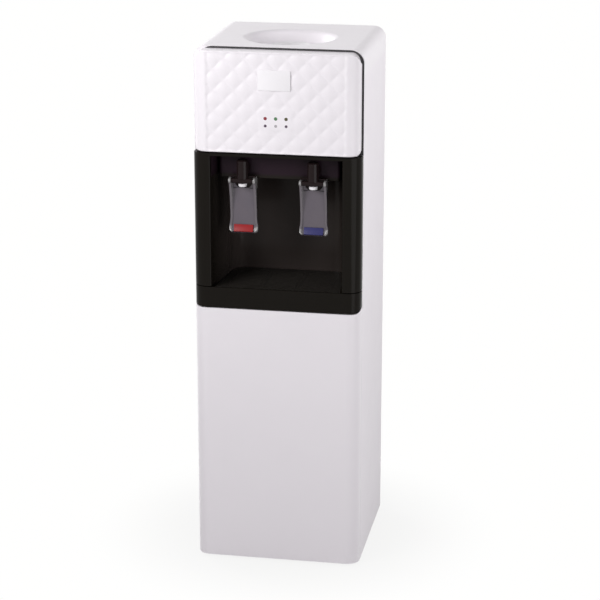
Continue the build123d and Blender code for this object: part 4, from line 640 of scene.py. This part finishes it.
def makeLever(node, centreX):
    s = leverSet
    paddle = bmesh.new()
    radius = s["curlRadius"]
    arcLength = radius * math.radians(s["curlAngle"])
    straight = s["notchLow"] - s["curlZ"]
    stations = [straight * i / s["runSteps"] for i in range(s["runSteps"] + 1)]
    stations += [straight + arcLength * share for share in s["curlSteps"]]
    loops = []
    for run in stations:
        turn = max(run - straight, 0) / radius
        y = s["faceY"] - radius + radius * math.cos(turn)
        z = max(s["notchLow"] - run, s["curlZ"]) - radius * math.sin(turn)
        half = leverHalf(z, straight + arcLength - run)
        rim, deep, thick = half - s["rimWidth"], s["rimShow"], s["plate"]
        section = roundedPolygon([(-half, -thick), (half, -thick), (half, deep), (rim, deep),
                                  (rim, 0), (-rim, 0), (-rim, deep), (-half, deep)], s["soft"])
        loops.append([(centreX + x, y - d * math.cos(turn), z + d * math.sin(turn)) for x, d in section])
    loftLoops(paddle, loops)
    # ears: side outlines that carry the rims up to the pivot
    for side in (-1, 1):
        rear = s["faceY"] + s["plate"]
        outline = [(rear, s["earFoot"] - s["earTaper"]), (rear, s["earTop"]), (s["pivotY"], s["earTop"])]
        for step in range(1, 8):
            angle = math.radians(90 + 180 * step / 8)
            outline.append((s["pivotY"] + s["eye"] * math.cos(angle), s["pivotZ"] + s["eye"] * math.sin(angle)))
        outline += [(s["pivotY"], s["pivotZ"] - s["eye"]), (s["faceY"] - s["rimDepth"], s["earFoot"]),
                    (s["faceY"] - s["rimShow"], s["earFoot"] - s["earTaper"])]
        outer, inner, soft = s["half"], s["half"] - s["rimWidth"], s["soft"] * 0.7
        middle = Vector((sum(p[0] for p in outline) / len(outline), sum(p[1] for p in outline) / len(outline)))
        loops = []
        for across, draw in ((outer, soft), (outer - soft * 0.4, soft * 0.3), (outer - soft, 0),
                             (inner + soft, 0), (inner + soft * 0.4, soft * 0.3), (inner, soft)):
            loop = []
            for y, z in outline:
                pull = Vector((y, z)) + (middle - Vector((y, z))).normalized() * draw
                loop.append((centreX + side * across, pull.x, pull.y))
            loops.append(loop)
        loftLoops(paddle, loops)
        # tongue: the web between ear and notch
        tongue = roundedPolygon([
            (inner, s["notchLow"] - s["tongueFoot"]), (inner, s["earTop"] - s["tongueTop"]),
            (s["notchHalf"] + s["notchFlare"], s["pivotZ"]), (s["notchHalf"], s["notchLow"] + s["notchCut"]),
            (s["notchHalf"] - s["notchCut"], s["notchLow"] - s["tongueTip"])], s["tongueSoft"])
        loftLoops(paddle, [[(centreX + side * x, s["faceY"] + y, z) for x, z in tongue] for y in (0.0, s["plate"])])
        loops = []
        for rise, share in s["pinSteps"]:
            loop = []
            for i in range(s["pinTurns"]):
                angle, reach = 2 * math.pi * i / s["pinTurns"], s["pinRadius"] * share
                loop.append((centreX + side * (outer + rise), s["pivotY"] + reach * math.cos(angle),
                             s["pivotZ"] + reach * math.sin(angle)))
            loops.append(loop)
        loftLoops(paddle, loops)
    mesh = smoothMesh(node + "Paddle", paddle, 35.0)
    for finish in ("lever_smoke", "leverGlint", "leverSheen"):
        mesh.materials.append(finishes[finish])
    for face in mesh.polygons:  # painted highlights: ears and foot corners are painted paler than the rims between them, and the rims get a painted sheen a little paler than the paddle
        spot = face.center
        if abs(spot.x - centreX) > s["half"] - s["rimWidth"] - s["rimFrom"]:
            pale = spot.z > s["notchLow"] + s["glintAbove"] or spot.z < s["flareLow"]
            face.material_index = 1 if pale else 2
    addPiece(node + "Paddle", mesh, node, slotOf[node], replaced=(node,))


# colour tabs bent to the curl of the foot, with rounded rims
tabSet = dict(half=0.018, thick=0.0026, gap=0.0001, start=6.0, end=33.0, soft=0.0008,
              ends=(0.0, 0.0001, 0.0003, 0.0005, 0.0008), steps=8)


def makeTab(node, body, centreX):
    t, s = tabSet, leverSet
    radius = s["curlRadius"]
    start, length = radius * math.radians(t["start"]), radius * math.radians(t["end"] - t["start"])
    runs = list(t["ends"]) + [length * i / t["steps"] for i in range(1, t["steps"])]
    runs += [length - end for end in reversed(t["ends"])]
    loops = []
    for run in runs:
        turn = (start + run) / radius
        near = max(t["soft"] - min(run, length - run), 0)
        sink = t["soft"] - math.sqrt(t["soft"] ** 2 - near ** 2)
        half, thick = t["half"] - sink, t["thick"] - sink
        section = roundedPolygon([(-half, 0), (half, 0), (half, thick), (-half, thick)], t["soft"])
        y = s["faceY"] - radius + radius * math.cos(turn)
        z = s["curlZ"] - radius * math.sin(turn)
        loops.append([(centreX + x, y - (t["gap"] + d) * math.cos(turn), z + (t["gap"] + d) * math.sin(turn))
                      for x, d in section])
    shape = bmesh.new()
    loftLoops(shape, loops)
    addPiece(body + "Tab", smoothMesh(body + "Tab", shape, 50.0), body, slotOf[node], replaced=(node,))


def makeSpring(tap):
    node = tap + "_valve_spring"
    spring = addPiece(tap + "SpringCoil", nodes[node].data.copy(), "cabinet", slotOf[node], replaced=(node,))
    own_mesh(spring)


makeLever("hot_lever", -leverSet["aside"])
makeLever("cold_lever", leverSet["aside"])
makeTab("hot_lever_tab", "hot_lever", -leverSet["aside"])
makeTab("cold_lever_tab", "cold_lever", leverSet["aside"])
makeSpring("hot")
makeSpring("cold")
print("levers, tabs and springs made")

# condenser: a serpentine tube between two rows of fine upright wires
condenserSet = dict(half=0.115, low=0.200, pitch=0.044, passes=9, bend=0.020, tube=0.0025, inlet=0.1212,
                    lineY=0.16105, wire=0.0007, wirePitch=0.0075, wireHalf=0.090, overhang=0.010, offset=0.0030)


def bentRoute(points, bend, steps=8):
    route = [Vector(points[0])]
    for before, here, after in zip(points, points[1:], points[2:]):
        here = Vector(here)
        back = (Vector(before) - here).normalized()
        on = (Vector(after) - here).normalized()
        centre = here + (back + on) * bend
        for step in range(steps + 1):
            angle = math.radians(90 * step / steps)
            route.append(centre - on * bend * math.cos(angle) - back * bend * math.sin(angle))
    route.append(Vector(points[-1]))
    return route


def addLine(curve, points):
    line = curve.splines.new("POLY")
    line.points.add(len(points) - 1)
    for spot, point in zip(line.points, points):
        spot.co = (*point, 1)


def makeCondenser():
    c = condenserSet
    high = c["low"] + c["pitch"] * (c["passes"] - 1)
    corners = [(-c["half"], c["inlet"], c["low"])]
    for i in range(c["passes"]):
        side = 1 if i % 2 == 0 else -1
        level = c["low"] + c["pitch"] * i
        corners += [(-side * c["half"], c["lineY"], level), (side * c["half"], c["lineY"], level)]
    corners.append((c["half"], c["inlet"], high))
    tube = bpy.data.curves.new("condenserTube", "CURVE")
    tube.dimensions = "3D"
    tube.bevel_depth = c["tube"]
    tube.bevel_resolution = 3
    addLine(tube, bentRoute(corners, c["bend"]))
    wires = bpy.data.curves.new("condenserWires", "CURVE")
    wires.dimensions = "3D"
    wires.bevel_depth = c["wire"]
    wires.bevel_resolution = 1
    wires.use_fill_caps = True
    count = round(2 * c["wireHalf"] / c["wirePitch"])
    for row in (-1, 1):
        for i in range(count + 1):
            x = -c["wireHalf"] + c["wirePitch"] * i
            y = c["lineY"] + row * c["offset"]
            addLine(wires, [(x, y, c["low"] - c["overhang"]), (x, y, high + c["overhang"])])
    addPiece("condenserTube", tube, "cabinet", slotOf["condenser"], replaced=("condenser",))
    addPiece("condenserWires", wires, "cabinet", slotOf["condenser"])


# cross-head screws round the back panel
screwSet = dict(
    x=0.1465, levels=(0.030, 0.205, 0.380, 0.555, 0.730, 0.905), radius=0.0034, rise=0.0019, turns=24,
    dome=((1.0, 0.0), (1.0, 0.35), (0.92, 0.6), (0.72, 0.86), (0.40, 1.0)),  # shares of radius and rise
    slot=0.0021, slotHalf=0.00045, slotLow=0.5, slotHigh=1.02, tiltByLevel=17, tiltBySide=40,
)


def makeScrew(name, centreX, backY, level, tilt):
    s = screwSet
    shape = bmesh.new()
    angles = [2 * math.pi * i / s["turns"] for i in range(s["turns"])]
    loftLoops(shape, [[(centreX + s["radius"] * share * math.cos(a), backY + s["rise"] * rise,
                        level + s["radius"] * share * math.sin(a)) for a in angles] for share, rise in s["dome"]])
    domeCount = len(shape.faces)
    # painted shade: the cross recess is drawn as black bars on the zinc head, standing in for the shade in the hollow
    for turn in (tilt, tilt + math.pi / 2):
        bar = []
        for along, across in ((1, 1), (-1, 1), (-1, -1), (1, -1)):
            u, v = along * s["slot"], across * s["slotHalf"]
            bar.append((centreX + u * math.cos(turn) - v * math.sin(turn),
                        level + u * math.sin(turn) + v * math.cos(turn)))
        loftLoops(shape, [[(x, backY + s["rise"] * share, z) for x, z in bar]
                          for share in (s["slotLow"], s["slotHigh"])])
    mesh = smoothMesh("screw", shape)
    mesh.materials.append(finishes["zinc"])
    mesh.materials.append(finishes["black_paint"])
    for face in list(mesh.polygons)[domeCount:]:
        face.material_index = 1
    addPiece(name, mesh, "cabinet", "zinc")


def makeScrews():
    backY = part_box("back_panel")[1].y
    for side, letter in ((-1, "L"), (1, "R")):
        for number, level in enumerate(screwSet["levels"]):
            tilt = math.radians(screwSet["tiltByLevel"] * number + screwSet["tiltBySide"] * side)
            makeScrew("backScrew" + letter + str(number), side * screwSet["x"], backY, level, tilt)


makeCondenser()
makeScrews()
print("back dressed")

# camera, matched to the photo's vanishing lines
cameraSet = dict(place=(0.6911, -3.7117, 1.6185), turn=(73.088, 0.0, 10.333), lens=123.77, sensor=36.0)
camera = bpy.data.objects.new("camera", bpy.data.cameras.new("camera"))
scene.collection.objects.link(camera)
camera.location = cameraSet["place"]
camera.rotation_euler = [math.radians(a) for a in cameraSet["turn"]]
camera.data.lens = cameraSet["lens"]
camera.data.sensor_width = cameraSet["sensor"]
scene.camera = camera

# lamps: place, aim, size and watts
lampSet = {
    "keyLamp": dict(place=(-0.86, -1.15, 1.4), aim=(0, 0, 0.8), size=0.85, power=18.4),
    "nearLamp": dict(place=(1.1, -1.05, 0.6), aim=(0, 0, 0.55), size=1.2, power=7.6),
    "sideLamp": dict(place=(1.25, 0.15, 1.35), aim=(0, 0, 0.85), size=0.6, power=8.2),
    "backLamp": dict(place=(-1.6, 1.2, 1.75), aim=(0, 0, 0.8), size=1.2, power=31, mirrored=False),
}
for name, lamp in lampSet.items():
    light = bpy.data.lights.new(name, "AREA")
    light.shape = "DISK"
    light.size = lamp["size"]
    light.energy = lamp["power"]
    holder = bpy.data.objects.new(name, light)
    scene.collection.objects.link(holder)
    holder.visible_glossy = lamp.get("mirrored", True)
    holder.location = lamp["place"]
    holder.rotation_euler = (Vector(lamp["aim"]) - Vector(lamp["place"])).to_track_quat("-Z", "Y").to_euler()
print("camera and lamps set")


# rays that show the backdrop: straight from the camera, mirrored or seen through
def seenBy(tree):
    path = addNode(tree, "ShaderNodeLightPath")
    mirrored = addNode(tree, "ShaderNodeMath", operation="MAXIMUM")
    anySeen = addNode(tree, "ShaderNodeMath", operation="MAXIMUM")
    tree.links.new(path.outputs["Is Glossy Ray"], mirrored.inputs[0])
    tree.links.new(path.outputs["Is Transmission Ray"], mirrored.inputs[1])
    tree.links.new(path.outputs["Is Camera Ray"], anySeen.inputs[0])
    tree.links.new(mirrored.outputs["Value"], anySeen.inputs[1])
    return anySeen.outputs["Value"]


# backdrop: white to the eye, plain grey to everything else
backdropSet = dict(strength=0.21, color=(1.0, 0.965, 0.995), white=(1, 1, 0.995))


def makeWorld():
    world = bpy.data.worlds.new("studio")
    world.use_nodes = True
    tree = world.node_tree
    out = tree.nodes["World Output"]
    shade = tree.nodes["Background"]
    shade.inputs["Color"].default_value = (*backdropSet["color"], 1)
    shade.inputs["Strength"].default_value = backdropSet["strength"]
    seen = addNode(tree, "ShaderNodeBackground", Color=(*backdropSet["white"], 1), Strength=1.0)
    mix = addNode(tree, "ShaderNodeMixShader")
    tree.links.new(seenBy(tree), mix.inputs["Fac"])
    tree.links.new(shade.outputs["Background"], mix.inputs[1])
    tree.links.new(seen.outputs["Background"], mix.inputs[2])
    tree.links.new(mix.outputs["Shader"], out.inputs["Surface"])
    scene.world = world


# floor: a pale sheet that keeps the shadow near the feet and clears to the backdrop further out
floorSet = dict(radius=6.0, segments=96, drop=0.0004, clearFrom=0.14, clearTo=0.42, clearLeast=0.87,
                color=(0.36, 0.352, 0.356), roughness=0.9)


def makeFloor():
    mesh = bpy.data.meshes.new("floor")
    shape = bmesh.new()
    bmesh.ops.create_circle(shape, cap_ends=True, radius=floorSet["radius"], segments=floorSet["segments"])
    shape.to_mesh(mesh)
    shape.free()
    floor = bpy.data.objects.new("floor", mesh)
    scene.collection.objects.link(floor)
    floor.location.z = -floorSet["drop"]
    paper = bpy.data.materials.new("floorPaper")
    paper.use_nodes = True
    tree = paper.node_tree
    matte = tree.nodes["Principled BSDF"]
    matte.inputs["Base Color"].default_value = (*floorSet["color"], 1)
    matte.inputs["Roughness"].default_value = floorSet["roughness"]
    glow = addNode(tree, "ShaderNodeEmission", Color=(*backdropSet["white"], 1), Strength=1.0)
    place = addNode(tree, "ShaderNodeTexCoord")
    reach = addNode(tree, "ShaderNodeVectorMath", operation="LENGTH")
    fade = addNode(tree, "ShaderNodeMapRange", interpolation_type="SMOOTHSTEP", From_Min=floorSet["clearFrom"],
                   From_Max=floorSet["clearTo"], To_Min=floorSet["clearLeast"])
    share = addNode(tree, "ShaderNodeMath", operation="MULTIPLY")
    mix = addNode(tree, "ShaderNodeMixShader")
    tree.links.new(place.outputs["Object"], reach.inputs[0])
    tree.links.new(reach.outputs["Value"], fade.inputs["Value"])
    tree.links.new(fade.outputs["Result"], share.inputs[0])
    tree.links.new(seenBy(tree), share.inputs[1])
    tree.links.new(share.outputs["Value"], mix.inputs["Fac"])
    tree.links.new(matte.outputs["BSDF"], mix.inputs[1])
    tree.links.new(glow.outputs["Emission"], mix.inputs[2])
    tree.links.new(mix.outputs["Shader"], tree.nodes["Material Output"].inputs["Surface"])
    mesh.materials.append(paper)


makeWorld()
makeFloor()
scene.view_settings.view_transform = "Standard"
